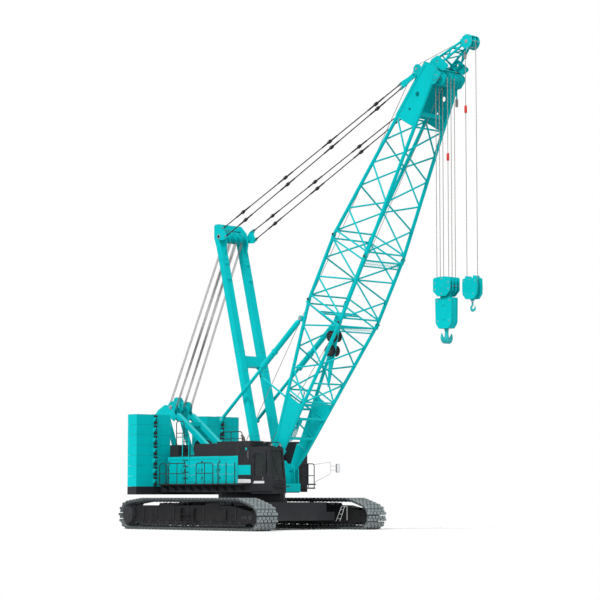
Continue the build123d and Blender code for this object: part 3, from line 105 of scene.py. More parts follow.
GANTRY_AXLE = (-5.02, 5.52)
HOIST_SHEAVES = (-0.054, -0.018, 0.018, 0.054)
TRACK_SIDE = 3.2
FRAME_FACE = 3.6
ROLLER_HALF = 0.3597
LINK_PITCH = 0.245
DRIVE = (-4.07, 0.63)
IDLER = (4.09, 0.56)
DRIVE_RADIUS = 0.5
IDLER_RADIUS = 0.43
SHOE_HEIGHT = 0.13
PIN_TOP = 1.25
TRACK_ROLLERS = [-3.3 + i * 0.6 for i in range(12)]
CARRIER_MIDDLES = (-1.56, 1.56)
CARRIER_REAR = -3.09
CARRIER_FRONT = 3.3
DECK_TOP = 2.0
DECK_SIDE = 1.65
ROOF = 3.74
CAB_ROOF = 3.56
CAB_FLOOR = 1.7303
CAB_OUTER = -1.7
CAB_INNER = -0.88
CAB_MIDDLE = (CAB_OUTER + CAB_INNER) / 2
SLAB_BASE = 1.88
SLAB_TOP = 5.13
SLAB_COUNT = 7


def place(plane, along, rise, side=0.0):
    """The point at these distances in a side plane, at this distance to the left."""
    (x, z), angle = plane
    return Vector((
        x + along * cos(angle) - rise * sin(angle),
        side,
        z + along * sin(angle) + rise * cos(angle),
    ))


AUX_POINT = place(BOOM, BOOM_END + 1.451, -1.128)
HOOK_POINT = place(BOOM, *HEAD_SHEAVE)
AUX_X, AUX_Z = AUX_POINT.x, AUX_POINT.z
HOOK_X, HOOK_Z = HOOK_POINT.x, HOOK_POINT.z
BLOCK_Y = -0.22
BLOCK_AXLE = HOOK_Z - 8.46
BLOCK_TOP = BLOCK_AXLE - 0.46
BLOCK_BOTTOM = BLOCK_TOP - 1.23
AUX_AXLE = AUX_Z - 9.9
AUX_BOTTOM = AUX_AXLE - 0.56
SHEAVE_RADIUS = 0.31
AUX_SHEAVE_RADIUS = 0.27
BLOCK_SHEAVES = (-0.2, 0.0, 0.2)
BLOCK_BEVEL = 0.006
BOOM_HOIST_DRUM = (-3.35, 3.6)
AUX_DRUM = (-0.8, 2.56)
MAIN_DRUM = (0.35, 2.56)
HOIST_CORE = 0.26


class CraneColours(bpy.types.PropertyGroup):
    """Colours of the crane's finishes."""

    teal: FloatVectorProperty(
        name="Teal", description="Gloss paint of boom, mast and panels",
        subtype="COLOR", size=3, default=(0.0, 0.5, 0.525), min=0, max=1)
    black: FloatVectorProperty(
        name="Black", description="Satin paint of frames, deck and cab",
        subtype="COLOR", size=3, default=(0.02, 0.021, 0.025), min=0, max=1)
    shoe: FloatVectorProperty(
        name="Shoe steel", description="Worn steel of the track shoes",
        subtype="COLOR", size=3, default=(0.2, 0.24, 0.25), min=0, max=1)
    steel: FloatVectorProperty(
        name="Steel", description="Bare steel of pins and sheave treads",
        subtype="COLOR", size=3, default=(0.34, 0.35, 0.36), min=0, max=1)
    rope: FloatVectorProperty(
        name="Rope", description="Greased wire rope",
        subtype="COLOR", size=3, default=(0.36, 0.35, 0.34), min=0, max=1)
    dust: FloatVectorProperty(
        name="Dust", description="Dry dust on paint and steel",
        subtype="COLOR", size=3, default=(0.36, 0.33, 0.28), min=0, max=1)


class CraneSizes(bpy.types.PropertyGroup):
    """Sizes of the pieces that the scene adds."""

    rope_radius: FloatProperty(
        name="Rope radius", description="Radius of the hoist ropes",
        subtype="DISTANCE", unit="LENGTH", default=0.014, min=0.005, max=0.03)
    bolt_radius: FloatProperty(
        name="Bolt radius", description="Half the width of a bolt head",
        subtype="DISTANCE", unit="LENGTH", default=0.022, min=0.008, max=0.06)
    tube_sides: IntProperty(
        name="Tube sides", description="Flats round a lattice tube", default=14, min=8, max=32)
    floor_radius: FloatProperty(
        name="Floor radius", description="How far the floor reaches before it fades",
        subtype="DISTANCE", unit="LENGTH", default=11.0, min=8, max=40)


# Nodes
def join(tree, source, target):
    """Links a socket, or a node's first output, into an input."""
    tree.links.new(source if isinstance(source, bpy.types.NodeSocket) else source.outputs[0], target)


def node(tree, kind, links=(), **values):
    """A node with its plain settings, input values by socket index, and links into it."""
    made = tree.nodes.new(kind)
    for key, value in values.items():
        if key.startswith("in_"):
            made.inputs[int(key[3:])].default_value = value
        else:
            setattr(made, key, value)
    for index, source in links:
        join(tree, source, made.inputs[index])
    return made


def maths(tree, operation, *sources, **values):
    """A calculation on one or two values."""
    return node(tree, "ShaderNodeMath", enumerate(sources), operation=operation, **values)


def ramp(tree, value, low, high, start=0.0, end=1.0):
    """A value moved from one range into another, and held there."""
    return node(tree, "ShaderNodeMapRange", [(0, value)], in_1=low, in_2=high, in_3=start, in_4=end)


def noise(tree, where, detail, links=(), **values):
    """A noise over these coordinates."""
    return node(tree, "ShaderNodeTexNoise", [(0, where), *links], in_3=detail, **values)


def object_place(tree):
    """A point's place in the piece's own coordinates."""
    return node(tree, "ShaderNodeTexCoord").outputs["Object"]


def true_normal(tree):
    """The direction a face looks to."""
    return node(tree, "ShaderNodeNewGeometry").outputs["True Normal"]


def part_of(tree, vector, index):
    """One coordinate of a vector."""
    return node(tree, "ShaderNodeSeparateXYZ", [(0, vector)]).outputs[index]


# Shader effects that several materials share
def new_group(name, inputs, outputs):
    """An empty shader node group with these sockets."""
    group = bpy.data.node_groups.new(name, "ShaderNodeTree")
    for label, value in inputs:
        socket = group.interface.new_socket(label, in_out="INPUT", socket_type="NodeSocketFloat")
        socket.default_value = value
    for label in outputs:
        group.interface.new_socket(label, in_out="OUTPUT", socket_type="NodeSocketFloat")
    return group, group.nodes.new("NodeGroupInput").outputs, group.nodes.new("NodeGroupOutput").inputs


def build_drift():
    """Large and small patches in which a paint is a little lighter or darker."""
    group, taken, given = new_group("paint_drift", [("Scale", 1.0)], ["Patches", "Grain"])
    where = object_place(group)
    finer = maths(group, "MULTIPLY", taken[0], in_1=45.0)
    join(group, noise(group, where, 5.0, [(2, taken[0])]), given[0])
    join(group, noise(group, where, 3.0, [(2, finer)]), given[1])
    return group


def build_streaks():
    """Runs of grime down upright faces."""
    group, taken, given = new_group("rain_streaks", [("Width", 9.0), ("Amount", 0.5)], ["Streaks"])
    where = object_place(group)
    thin = node(group, "ShaderNodeMapping", [(0, where)], in_3=(1.0, 1.0, 0.09))
    narrow = noise(group, thin, 4.0, [(2, taken[0])])
    both = maths(group, "MULTIPLY", narrow, noise(group, where, 2.0, in_2=0.55))
    join(group, maths(group, "MULTIPLY", ramp(group, both, 0.24, 0.4), taken[1]), given[0])
    return group


def build_dust():
    """Dust that lies on upward faces and thickens towards the ground."""
    group, taken, given = new_group("settled_dust", [("Top", 2.0), ("Amount", 0.5), ("Scale", 4.0)], ["Dust"])
    where = object_place(group)
    low = node(group, "ShaderNodeMapRange", [(0, part_of(group, where, 2)), (2, taken[0])],
               in_1=0.0, in_3=1.0, in_4=0.0)
    flat = ramp(group, part_of(group, true_normal(group), 2), 0.35, 1.0, 0.0, 0.8)
    patchy = ramp(group, noise(group, where, 6.0, [(2, taken[2])], in_4=0.6), 0.3, 0.7, 0.1)
    mixed = maths(group, "MULTIPLY", maths(group, "MAXIMUM", low, flat), patchy)
    join(group, maths(group, "MULTIPLY", mixed, taken[1]), given[0])
    return group


def build_edge_wear():
    """A mask of rubbed edges, broken up by noise."""
    group, taken, given = new_group(
        "edge_wear", [("Reach", 0.02), ("Amount", 0.6), ("Scale", 14.0)], ["Wear"])
    bevel = node(group, "ShaderNodeBevel", [(0, taken[0])], samples=4)
    face = node(group, "ShaderNodeNewGeometry").outputs["Normal"]
    near = node(group, "ShaderNodeVectorMath", [(0, bevel), (1, face)], operation="DOT_PRODUCT")
    edge = ramp(group, near.outputs["Value"], 0.985, 0.86)
    broken = ramp(group, noise(group, object_place(group), 6.0, [(2, taken[2])], in_4=0.65), 0.46, 0.6)
    both = maths(group, "MULTIPLY", edge, broken)
    join(group, maths(group, "MULTIPLY", both, taken[1]), given[0])
    return group


def build_lay():
    """Twisted strands of a wire rope, from the rope's own UV map."""
    group, taken, given = new_group("rope_lay", [("Strands", 3.0), ("Lay", 5.0)], ["Height", "Groove"])
    unrolled = node(group, "ShaderNodeTexCoord").outputs["UV"]
    around = maths(group, "MULTIPLY", part_of(group, unrolled, 0), taken[0])
    along = maths(group, "MULTIPLY", part_of(group, unrolled, 1), taken[1])
    wave = maths(group, "SINE", maths(group, "MULTIPLY", maths(group, "ADD", around, along), in_1=2 * pi))
    join(group, ramp(group, wave, -1.0, 1.0), given[0])
    join(group, ramp(group, wave, -0.2, -1.0), given[1])
    return group


effects = {}
looks = {}
trees = {}


def shared(tree, name, *values):
    """A shared effect placed in a material, with its inputs in order."""
    made = node(tree, "ShaderNodeGroup", node_tree=effects[name])
    for socket, value in zip(made.inputs, values):
        socket.default_value = value
    return made.outputs


def blend(tree, mask, ends, kind, first):
    """A mix by a mask of two inputs, each a socket or a plain value."""
    mix = node(tree, "ShaderNodeMix", [(0, mask)], data_type=kind)
    for index, value in enumerate(ends, first):
        if isinstance(value, bpy.types.NodeSocket):
            tree.links.new(value, mix.inputs[index])
        else:
            mix.inputs[index].default_value = value
    return mix.outputs


def blend_colour(tree, mask, under, over):
    """A mix of two colours by a mask; each is a socket or a plain colour."""
    ends = [end if isinstance(end, bpy.types.NodeSocket) else (*end, 1.0) for end in (under, over)]
    return blend(tree, mask, ends, "RGBA", 6)[2]


def blend_value(tree, mask, under, over):
    """A mix of two numbers by a mask; each is a socket or a plain number."""
    return blend(tree, mask, (under, over), "FLOAT", 2)[0]


def shade(colour, factor):
    """A colour made lighter or darker by a factor."""
    return tuple(min(1.0, part * factor) for part in colour)


def new_material(name, colour=None, **plain):
    """A material's tree and its shader's inputs, which take these plain values."""
    looks[name] = bpy.data.materials.new(name)
    looks[name].use_nodes = True
    inputs = looks[name].node_tree.nodes["Principled BSDF"].inputs
    if colour:
        inputs["Base Color"].default_value = (*colour, 1.0)
    for label, value in plain.items():
        inputs[label.replace("_", " ")].default_value = value
    return looks[name].node_tree, inputs


def bump(tree, inputs, height, strength, distance):
    """Relief from a height."""
    join(tree, node(tree, "ShaderNodeBump", [(3, height)], in_0=strength, in_1=distance), inputs["Normal"])


def painted(name, colour, rough, dust_top, dust_amount, wear, bare, streak=0.35, specular=0.25, metallic=0.0):
    """Paint or metal with patches, streaks, dust, rubbed edges and a fine skin."""
    tree, inputs = new_material(name, Metallic=metallic, Specular_IOR_Level=specular)
    drift = shared(tree, "paint_drift", 0.9)
    base = blend_colour(tree, drift[0], shade(colour, 0.86), shade(colour, 1.12))
    base = blend_colour(tree, shared(tree, "rain_streaks", 9.0, streak)[0], base, shade(colour, 0.6))
    dust = shared(tree, "settled_dust", dust_top, dust_amount, 3.5)
    base = blend_colour(tree, dust[0], base, bpy.context.scene.crane_colours.dust)
    base = blend_colour(tree, shared(tree, "edge_wear", 0.02, wear, 11.0)[0], base, bare)
    join(tree, base, inputs["Base Color"])
    roughness = blend_value(tree, drift[1], rough - 0.06, rough + 0.08)
    join(tree, blend_value(tree, dust[0], roughness, 0.9), inputs["Roughness"])
    bump(tree, inputs, drift[1], 0.12, 0.004)


def cover(name, mask, colour):
    """Puts a colour over a finished material where the mask says."""
    tree = looks[name].node_tree
    socket = tree.nodes["Principled BSDF"].inputs["Base Color"]
    join(tree, blend_colour(tree, mask, socket.links[0].from_socket, colour), socket)


def split_paint(name, height, lower):
    """Gives a painted material another colour below a height."""
    tree = looks[name].node_tree
    cover(name, maths(tree, "LESS_THAN", part_of(tree, object_place(tree), 2), in_1=height), lower)


def paint_shade_on_ends(name, painted_shade):
    """Puts grime on the faces that look to either side of the machine."""
    tree = looks[name].node_tree
    size = maths(tree, "ABSOLUTE", part_of(tree, true_normal(tree), 1))
    cover(name, ramp(tree, size, 0.5, 0.9, 0.0, 0.9), painted_shade)


def rope_material(name, strands, lay, depth):
    """Wire rope whose strands wind round its own length."""
    colour = bpy.context.scene.crane_colours.rope
    tree, inputs = new_material(name, Metallic=0.6)
    drift = shared(tree, "paint_drift", 2.0)
    height, groove = shared(tree, "rope_lay", strands, lay)
    base = blend_colour(tree, drift[0], shade(colour, 0.7), shade(colour, 1.35))
    # The grooves between strands take a quarter of the rope's brightness: painted shade.
    join(tree, blend_colour(tree, groove, base, shade(colour, 0.25)), inputs["Base Color"])
    join(tree, blend_value(tree, drift[1], 0.4, 0.6), inputs["Roughness"])
    bump(tree, inputs, height, 0.9, depth)


def glass_material():
    """Tinted cab glass with a dusty lower part."""
    tree, inputs = new_material("cab_glass", Alpha=0.72, Specular_IOR_Level=0.22)
    dust = shared(tree, "settled_dust", 3.6, 0.18, 5.0)
    base = blend_colour(tree, dust[0], (0.012, 0.02, 0.022), bpy.context.scene.crane_colours.dust)
    join(tree, base, inputs["Base Color"])
    join(tree, blend_value(tree, dust[0], 0.05, 0.6), inputs["Roughness"])


def fabric_material():
    """Woven seat cover."""
    tree, inputs = new_material("seat_cloth", Roughness=0.92, Sheen_Weight=0.3)
    where = object_place(tree)
    warp, weft = (
        node(tree, "ShaderNodeTexWave", [(0, where)], in_1=160.0, bands_direction=axis).outputs[1]
        for axis in "XZ"
    )
    weave = maths(tree, "MULTIPLY", warp, weft)
    base = blend_colour(tree, weave, (0.018, 0.019, 0.022), (0.05, 0.052, 0.058))
    base = blend_colour(tree, shared(tree, "paint_drift", 3.0)[0], base, (0.03, 0.031, 0.035))
    join(tree, base, inputs["Base Color"])
    bump(tree, inputs, weave, 0.5, 0.002)


def lamp_material():
    """Lens of a work lamp: fluted clear plastic over a bright bowl."""
    tree, inputs = new_material("lamp_lens", Roughness=0.12)
    flutes = node(tree, "ShaderNodeTexWave", [(0, object_place(tree))], in_1=60.0).outputs[1]
    # Painted reflection of the bowl: grey, lighter and darker along the flutes.
    join(tree, blend_colour(tree, flutes, (0.12, 0.12, 0.12), (0.3, 0.3, 0.3)), inputs["Base Color"])
    bump(tree, inputs, flutes, 0.4, 0.003)


def mirror_material():
    """Silvered mirror with smears."""
    tree, inputs = new_material("mirror", Metallic=1.0)
    drift = shared(tree, "paint_drift", 6.0)
    join(tree, blend_colour(tree, drift[0], (0.7, 0.72, 0.74), (0.85, 0.86, 0.87)), inputs["Base Color"])
    join(tree, blend_value(tree, drift[1], 0.03, 0.12), inputs["Roughness"])


# Mesh building
class Form:
    """Collects faces with their looks and becomes one piece."""

    def __init__(self):
        self.points = []
        self.faces = []
        self.face_looks = []
        self.face_uvs = []

    def add(self, points, faces, look, uvs=None):
        """Adds faces over their own points; uvs give each face's corners."""
        base = len(self.points)
        self.points += [tuple(point) for point in points]
        self.faces += [[base + index for index in face] for face in faces]
        self.face_looks += [look] * len(faces)
        self.face_uvs += uvs or [None] * len(faces)

    def loft(self, rings, look, closed=False, lengths=None):
        """Joins rings of points, each with the same count, into one skin."""
        count = len(rings[0])
        faces = []
        uvs = []
        for i in range(len(rings) if closed else len(rings) - 1):
            after = (i + 1) % len(rings)
            for k in range(count):
                nxt = (k + 1) % count
                faces.append([i * count + k, i * count + nxt, after * count + nxt, after * count + k])
                if lengths:
                    low, high = lengths[i], lengths[i + 1]
                    left, right = k / count, (k + 1) / count
                    uvs.append([(left, low), (right, low), (right, high), (left, high)])
        if not closed:
            for i, order in ((0, -1), (len(rings) - 1, 1)):
                faces.append([i * count + k for k in range(count)][::order])
                if lengths:
                    uvs.append([(0.0, lengths[i])] * count)
        self.add([point for ring in rings for point in ring], faces, look, uvs)

    def tube(self, points, radius, look, sides=12, closed=False, mapped=False):
        """A round tube through these points, with mitred bends."""
        points = [Vector(point) for point in points]
        count = len(points)
        starts = range(count if closed else count - 1)
        runs = [(points[(i + 1) % count] - points[i]).normalized() for i in starts]
        rings = []
        lengths = [0.0]
        across = runs[0].orthogonal().normalized()
        for i, point in enumerate(points):
            before = runs[i - 1] if (i or closed) else runs[0]
            after = runs[i % len(runs)] if (i < count - 1 or closed) else runs[-1]
            along = (before + after).normalized()
            across = (across - along * across.dot(along)).normalized()
            other = along.cross(across)
            stretch = 1.0 / max(0.5, along.dot(after))
            bend = after - before
            ring = []
            for k in range(sides):
                angle = 2 * pi * k / sides
                offset = across * cos(angle) + other * sin(angle)
                if bend.length > 1e-6:
                    lean = bend.normalized()
                    offset += lean * offset.dot(lean) * (stretch - 1.0)
                ring.append(point + offset * radius)
            rings.append(ring)
            if i:
                lengths.append(lengths[-1] + (point - points[i - 1]).length)
        self.loft(rings, look, closed, lengths if mapped else None)

    def turned(self, centre, axis, profile, look, sides=32, ring=False):
        """A turned form from (distance along the axis, radius) pairs; a ring's profile closes on itself."""
        centre, axis = Vector(centre), Vector(axis).normalized()
        across = axis.orthogonal().normalized()
        other = axis.cross(across)
        angles = [2 * pi * k / sides for k in range(sides)]
        self.loft([
            [centre + axis * along + (across * cos(t) + other * sin(t)) * max(radius, 1e-4) for t in angles]
            for along, radius in profile
        ], look, ring)

    def slab(self, outline, start, end, look, plane=MACHINE, holes=()):
        """A plate in a side plane between two distances to the left; start and end may follow along."""
        near = start if callable(start) else (lambda along: start)
        far = end if callable(end) else (lambda along: end)
        loops = [outline, *holes]
        flat = [Vector(point) for loop in loops for point in loop]
        front = [list(range(len(flat)))]
        if holes:
            edges = []
            base = 0
            for loop in loops:
                size = len(loop)
                edges += [(base + i, base + (i + 1) % size) for i in range(size)]
                base += size
            made = delaunay_2d_cdt(flat, edges, [], 0, 1e-6)
            flat = made[0]
            front = []
            for face in made[2]:
                middle = sum((flat[i] for i in face), Vector((0.0, 0.0))) / len(face)
                if within(middle, outline) and not any(within(middle, hole) for hole in holes):
                    front.append(face)
        count = len(flat)
        points = [place(plane, a, b, near(a)) for a, b in flat]
        points += [place(plane, a, b, far(a)) for a, b in flat]
        faces = [list(face) for face in front]
        faces += [[i + count for i in reversed(face)] for face in front]
        edges = [(i, j) for face in front for i, j in zip(face, [*face[1:], face[0]])]
        inner = set(edges)
        faces += [[j, i, i + count, j + count] for i, j in edges if (j, i) not in inner]
        self.add(points, faces, look)

    def plate(self, outline, s, near, far, look, plane=MACHINE, holes=()):
        """A plate on one side of the machine, between two distances from its middle."""
        self.slab(outline, *sorted((s * near, s * far)), look, plane, holes)

    def block(self, x, y, z, look):
        """A block between two distances along each axis."""
        self.slab([(x[0], z[0]), (x[1], z[0]), (x[1], z[1]), (x[0], z[1])], y[0], y[1], look)

    def take(self, mesh, look):
        """Adds a finished mesh."""
        self.add([v.co for v in mesh.vertices], [list(p.vertices) for p in mesh.polygons], look)

    def bars(self, bars, look, sides):
        """Adds a round tube along each bar: (start, end, radius)."""
        self.take(set_tubes(bars, look, sides), look)

    def mesh(self, name, sharp=40.0):
        """The collected faces as a mesh with outward faces and sharp corners marked."""
        made = bpy.data.meshes.new(name)
        made.from_pydata(self.points, [], self.faces)
        used = list(dict.fromkeys(self.face_looks))
        for look in used:
            made.materials.append(looks[look])
        for polygon, look in zip(made.polygons, self.face_looks):
            polygon.material_index = used.index(look)
            polygon.use_smooth = True
        if any(self.face_uvs):
            layer = made.uv_layers.new(name="UVMap")
            for polygon, uvs in zip(made.polygons, self.face_uvs):
                for loop, uv in zip(polygon.loop_indices, uvs or ()):
                    layer.data[loop].uv = uv
        work = bmesh.new()
        work.from_mesh(made)
        bmesh.ops.recalc_face_normals(work, faces=work.faces)
        work.to_mesh(made)
        work.free()
        made.set_sharp_from_angle(angle=radians(sharp))
        return made


def within(point, loop):
    """Whether a point lies inside a loop of points."""
    inside = False
    for (ax, ay), (bx, by) in zip(loop, [*loop[1:], loop[0]]):
        if (ay > point[1]) != (by > point[1]) and point[0] < (bx - ax) * (point[1] - ay) / (by - ay) + ax:
            inside = not inside
    return inside


def circle(centre, radius, sides=24):
    """Points round a circle in a plane."""
    angles = [2 * pi * k / sides for k in range(sides)]
    return [(centre[0] + radius * cos(t), centre[1] + radius * sin(t)) for t in angles]


def box_outline(low, high):
    """The corners of a rectangle."""
    return [low, (high[0], low[1]), high, (low[0], high[1])]


def mirrored(half, middle=0.0):
    """An outline from its half, with the other half mirrored at a middle line."""
    return [*half, *((2 * middle - a, b) for a, b in reversed(half))]


def rounded(points, radius, steps=4):
    """A path whose corners are rounded."""
    points = [Vector(point) for point in points]
    path = [points[0]]
    for before, here, after in zip(points, points[1:], points[2:]):
        start = here + (before - here).normalized() * min(radius, (before - here).length * 0.45)
        end = here + (after - here).normalized() * min(radius, (after - here).length * 0.45)
        for i in range(steps + 1):
            t = i / steps
            path.append(start * (1 - t) ** 2 + here * 2 * t * (1 - t) + end * t ** 2)
    path.append(points[-1])
    return path


def finish_piece(name, form, body, nodes=(), bevel=0.0, other_body=None):
    """The form as a piece that rides on its body, with its slot and the nodes it stands for."""
    piece = bpy.data.objects.new(name, form.mesh(name))
    bpy.context.scene.collection.objects.link(piece)
    if bevel:
        rounding = piece.modifiers.new("rounding", "BEVEL")
        rounding.width = bevel
        rounding.segments = 1
        rounding.limit_method = "ANGLE"
        rounding.angle_limit = radians(50)
        rounding.harden_normals = False
    if other_body:
        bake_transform(piece)
    else:
        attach(piece, body)
    if nodes:
        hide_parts(*nodes)


# Node trees that set repeated forms and tubes
def geometry_tree(name, inputs):
    """An empty node tree with a geometry input and output and these named inputs."""
    tree = bpy.data.node_groups.new(name, "GeometryNodeTree")
    for label, kind in {"Geometry": "Geometry", **inputs}.items():
        tree.interface.new_socket(label, in_out="INPUT", socket_type="NodeSocket" + kind)
    tree.interface.new_socket("Geometry", in_out="OUTPUT", socket_type="NodeSocketGeometry")
    return tree, tree.nodes.new("NodeGroupInput").outputs, tree.nodes.new("NodeGroupOutput").inputs


def attribute(tree, name, kind):
    """A named attribute of the base mesh."""
    made = node(tree, "GeometryNodeInputNamedAttribute", data_type=kind)
    made.inputs["Name"].default_value = name
    return made.outputs["Attribute"]


def end_tree(tree, shape, finish, given):
    """Makes the instances real and gives them their material."""
    real = node(tree, "GeometryNodeRealizeInstances", [(0, shape)])
    join(tree, node(tree, "GeometryNodeSetMaterial", [("Geometry", real), ("Material", finish)]), given[0])
    return tree


def build_set_on_points():
    """A form set on each point, its top along "facing" and its front along "along"."""
    tree, taken, given = geometry_tree(
        "set_on_points", {"Form": "Object", "Size": "Float", "Finish": "Material"})
    facing = attribute(tree, "facing", "FLOAT_VECTOR")
    along = attribute(tree, "along", "FLOAT_VECTOR")
    up = node(tree, "FunctionNodeAlignRotationToVector", [("Vector", facing)], axis="Z")
    front = node(tree, "FunctionNodeAlignRotationToVector", [("Rotation", up), ("Vector", along)],
                 axis="X", pivot_axis="Z")
    form = node(tree, "GeometryNodeObjectInfo", [("Object", taken["Form"])])
    spread = node(tree, "GeometryNodeInstanceOnPoints", [
        ("Points", taken["Geometry"]), ("Instance", form.outputs["Geometry"]), ("Rotation", front),
        ("Scale", taken["Size"]),
    ])
    return end_tree(tree, spread, taken["Finish"], given)


def build_tubes_on_edges():
    """A round tube along each edge, as thick as its "thick" attribute says."""
    tree, taken, given = geometry_tree("tubes_on_edges", {"Sides": "Int", "Finish": "Material"})
    lines = node(tree, "GeometryNodeMeshToCurve", [("Mesh", taken["Geometry"])])
    ring = node(tree, "GeometryNodeCurvePrimitiveCircle", [("Resolution", taken["Sides"])], mode="RADIUS")
    ring.inputs["Radius"].default_value = 1.0
    thick = attribute(tree, "thick", "FLOAT")
    curve = node(tree, "GeometryNodeSetCurveRadius", [("Curve", lines), ("Radius", thick)])
    skin = node(tree, "GeometryNodeCurveToMesh", [("Curve", curve), ("Profile Curve", ring)])
    skin.inputs["Fill Caps"].default_value = True
    if "Scale" in skin.inputs:
        join(tree, thick, skin.inputs["Scale"])
    return end_tree(tree, skin, taken["Finish"], given)


def run_tree(tree_name, base, values):
    """A node tree's result on a base mesh, as a plain mesh."""
    carrier = bpy.data.objects.new("carrier", base)
    bpy.context.scene.collection.objects.link(carrier)
    modifier = carrier.modifiers.new("tree", "NODES")
    modifier.node_group = trees[tree_name]
    for item in trees[tree_name].interface.items_tree:
        if item.in_out == "INPUT" and item.name in values:
            modifier[item.identifier] = values[item.name]
    depsgraph = bpy.context.evaluated_depsgraph_get()
    made = bpy.data.meshes.new_from_object(carrier.evaluated_get(depsgraph))
    carrier.modifiers.remove(modifier)
    bpy.data.objects.remove(carrier)
    return made


def set_forms(spots, form, look, size=1.0):
    """A mesh with the small form on each spot: (point, facing, along)."""
    base = bpy.data.meshes.new("spots")
    base.from_pydata([tuple(spot[0]) for spot in spots], [], [])
    for index, name in ((1, "facing"), (2, "along")):
        values = base.attributes.new(name, "FLOAT_VECTOR", "POINT")
        values.data.foreach_set("vector", [part for spot in spots for part in spot[index]])
    pattern = bpy.data.objects.new("pattern", form.mesh("pattern"))
    bpy.context.scene.collection.objects.link(pattern)
    made = run_tree("set_on_points", base, {"Form": pattern, "Size": size, "Finish": looks[look]})
    bpy.data.objects.remove(pattern)
    return made


def set_tubes(bars, look, sides):
    """A mesh with a round tube along each bar: (start, end, radius)."""
    base = bpy.data.meshes.new("bars")
    ends = [tuple(point) for start, end, radius in bars for point in (start, end)]
    base.from_pydata(ends, [(2 * i, 2 * i + 1) for i in range(len(bars))], [])
    values = base.attributes.new("thick", "FLOAT", "POINT")
    values.data.foreach_set("value", [radius for start, end, radius in bars for k in (0, 1)])
    return run_tree("tubes_on_edges", base, {"Sides": sides, "Finish": looks[look]})


def bolts(form, spots, look, radius=None):
    """Adds bolt heads on their washers at these spots: (point, facing)."""
    head = Form()
    head.turned((0, 0, 0), UP, [(-0.1, 1.25), (0.12, 1.25)], "steel", 12)
    head.turned((0, 0, 0.12), UP, [(0, 1), (0.4, 1), (0.5, 0.85)], "steel", 6)
    turned = [(point, facing, Vector(facing).orthogonal()) for point, facing in spots]
    form.take(set_forms(turned, head, look, radius or bpy.context.scene.crane_sizes.bolt_radius), look)


def bolt_circle(centre, axis, radius, count, turn=0.0):
    """Spots round an axis, facing along it."""
    centre, axis = Vector(centre), Vector(axis).normalized()
    across = axis.orthogonal().normalized()
    other = axis.cross(across)
    angles = [turn + 2 * pi * i / count for i in range(count)]
    return [(centre + (across * cos(t) + other * sin(t)) * radius, axis) for t in angles]


def side_spots(s, side, places):
    """Spots on a face of one side of the machine, at these (x, z) places."""
    return [(Vector((x, s * side, z)), Vector((0, s, 0))) for x, z in places]


# Boom
def along_boom(foot_value, middle_value, head_value, along):
    """A size that grows from the foot to the first joint and shrinks beyond the second."""
    if along < JOINT_1:
        return foot_value + (middle_value - foot_value) * along / JOINT_1
    if along < JOINT_2:
        return middle_value
    return middle_value + (head_value - middle_value) * (along - JOINT_2) / TIP_LENGTH


def back_rise(along):
    """Height of the back chords above the boom's axis."""
    return along_boom(0.045, HALF_DEPTH, 0.06, along)


def belly_rise(along):
    """Height of the belly chords, below the boom's axis."""
    return along_boom(-0.22, -HALF_DEPTH, -0.6, along)


def half_width(along):
    """Half the distance between the chords of one face."""
    return along_boom(FOOT_SIDE, HALF_WIDTH, HEAD_HALF_WIDTH, along)


def guide_rise(along):
    """Height of the guide plate's line, which climbs from the belly to the back."""
    share = (along - GUIDE_START) / (GUIDE_END - GUIDE_START)
    return belly_rise(GUIDE_START) + share * (GUIDE_TOP - belly_rise(GUIDE_START))


def chord_point(along, face, s):
    """A point on a chord: face is 1 for the back and -1 for the belly."""
    return place(BOOM, along, back_rise(along) if face > 0 else belly_rise(along), s * half_width(along))


def side_point(along, rise, s, out):
    """A point beside the chords of one side, this far outward."""
    return place(BOOM, along, rise, s * (half_width(along) + out))


def lattice_bars(start, end, bays):
    """Zigzag lacing on all four faces, with a closed frame at each end."""
    nodes = [start + (end - start) * i / bays for i in range(bays + 1)]
    bars = []
    for i, (a, b) in enumerate(zip(nodes, nodes[1:])):
        up, down = (1, -1) if i % 2 else (-1, 1)
        bars += [(chord_point(a, up, s), chord_point(b, down, s), LACING) for s in SIDES]
        bars += [(chord_point(a, face, up), chord_point(b, face, down), LACING) for face in SIDES]
    for a in (start, end):
        bars += [(chord_point(a, 1, s), chord_point(a, -1, s), LACING) for s in SIDES]
        bars += [(chord_point(a, face, 1), chord_point(a, face, -1), LACING) for face in SIDES]
    return bars


def weld_collars(bars, radius):
    """Short thick rings where lacing meets a chord."""
    collars = []
    for start, end, thick in bars:
        run = (end - start).normalized()
        for point, sign in ((start, 1), (end, -1)):
            near = point + run * sign * radius
            collars.append((near, near + run * sign * 0.03, thick + 0.009))
    return collars


def add_section(form, chord_span, frame_span, bays):
    """Chords, lacing and welds of one boom section."""
    sides = bpy.context.scene.crane_sizes.tube_sides
    start, end = chord_span
    corners = [(face, s) for face in SIDES for s in SIDES]
    chords = [(chord_point(start, *corner), chord_point(end, *corner), CHORD) for corner in corners]
    lacing = lattice_bars(*frame_span, bays)
    form.bars(chords, "teal", sides + 4)
    form.bars(lacing, "teal", sides)
    form.bars(weld_collars(lacing, CHORD - 0.004), "teal", sides)


def add_lugs(form, joint, toward, offsets):
    """Finger plates with rounded eyes on the four chords; toward is -1 on the foot's side of a joint."""
    root = joint + toward * 0.2
    angles = [pi * i / 10 for i in range(11)]
    for rise in (HALF_DEPTH, -HALF_DEPTH):
        eye = [(joint + toward * -0.068 * sin(t), rise + 0.068 * cos(t)) for t in angles]
        outline = [(root, rise + 0.07), *eye, (root, rise - 0.07)]
        for s in SIDES:
            for offset in offsets:
                middle = s * (HALF_WIDTH + offset)
                form.slab(outline, middle - 0.019, middle + 0.019, "teal", BOOM)


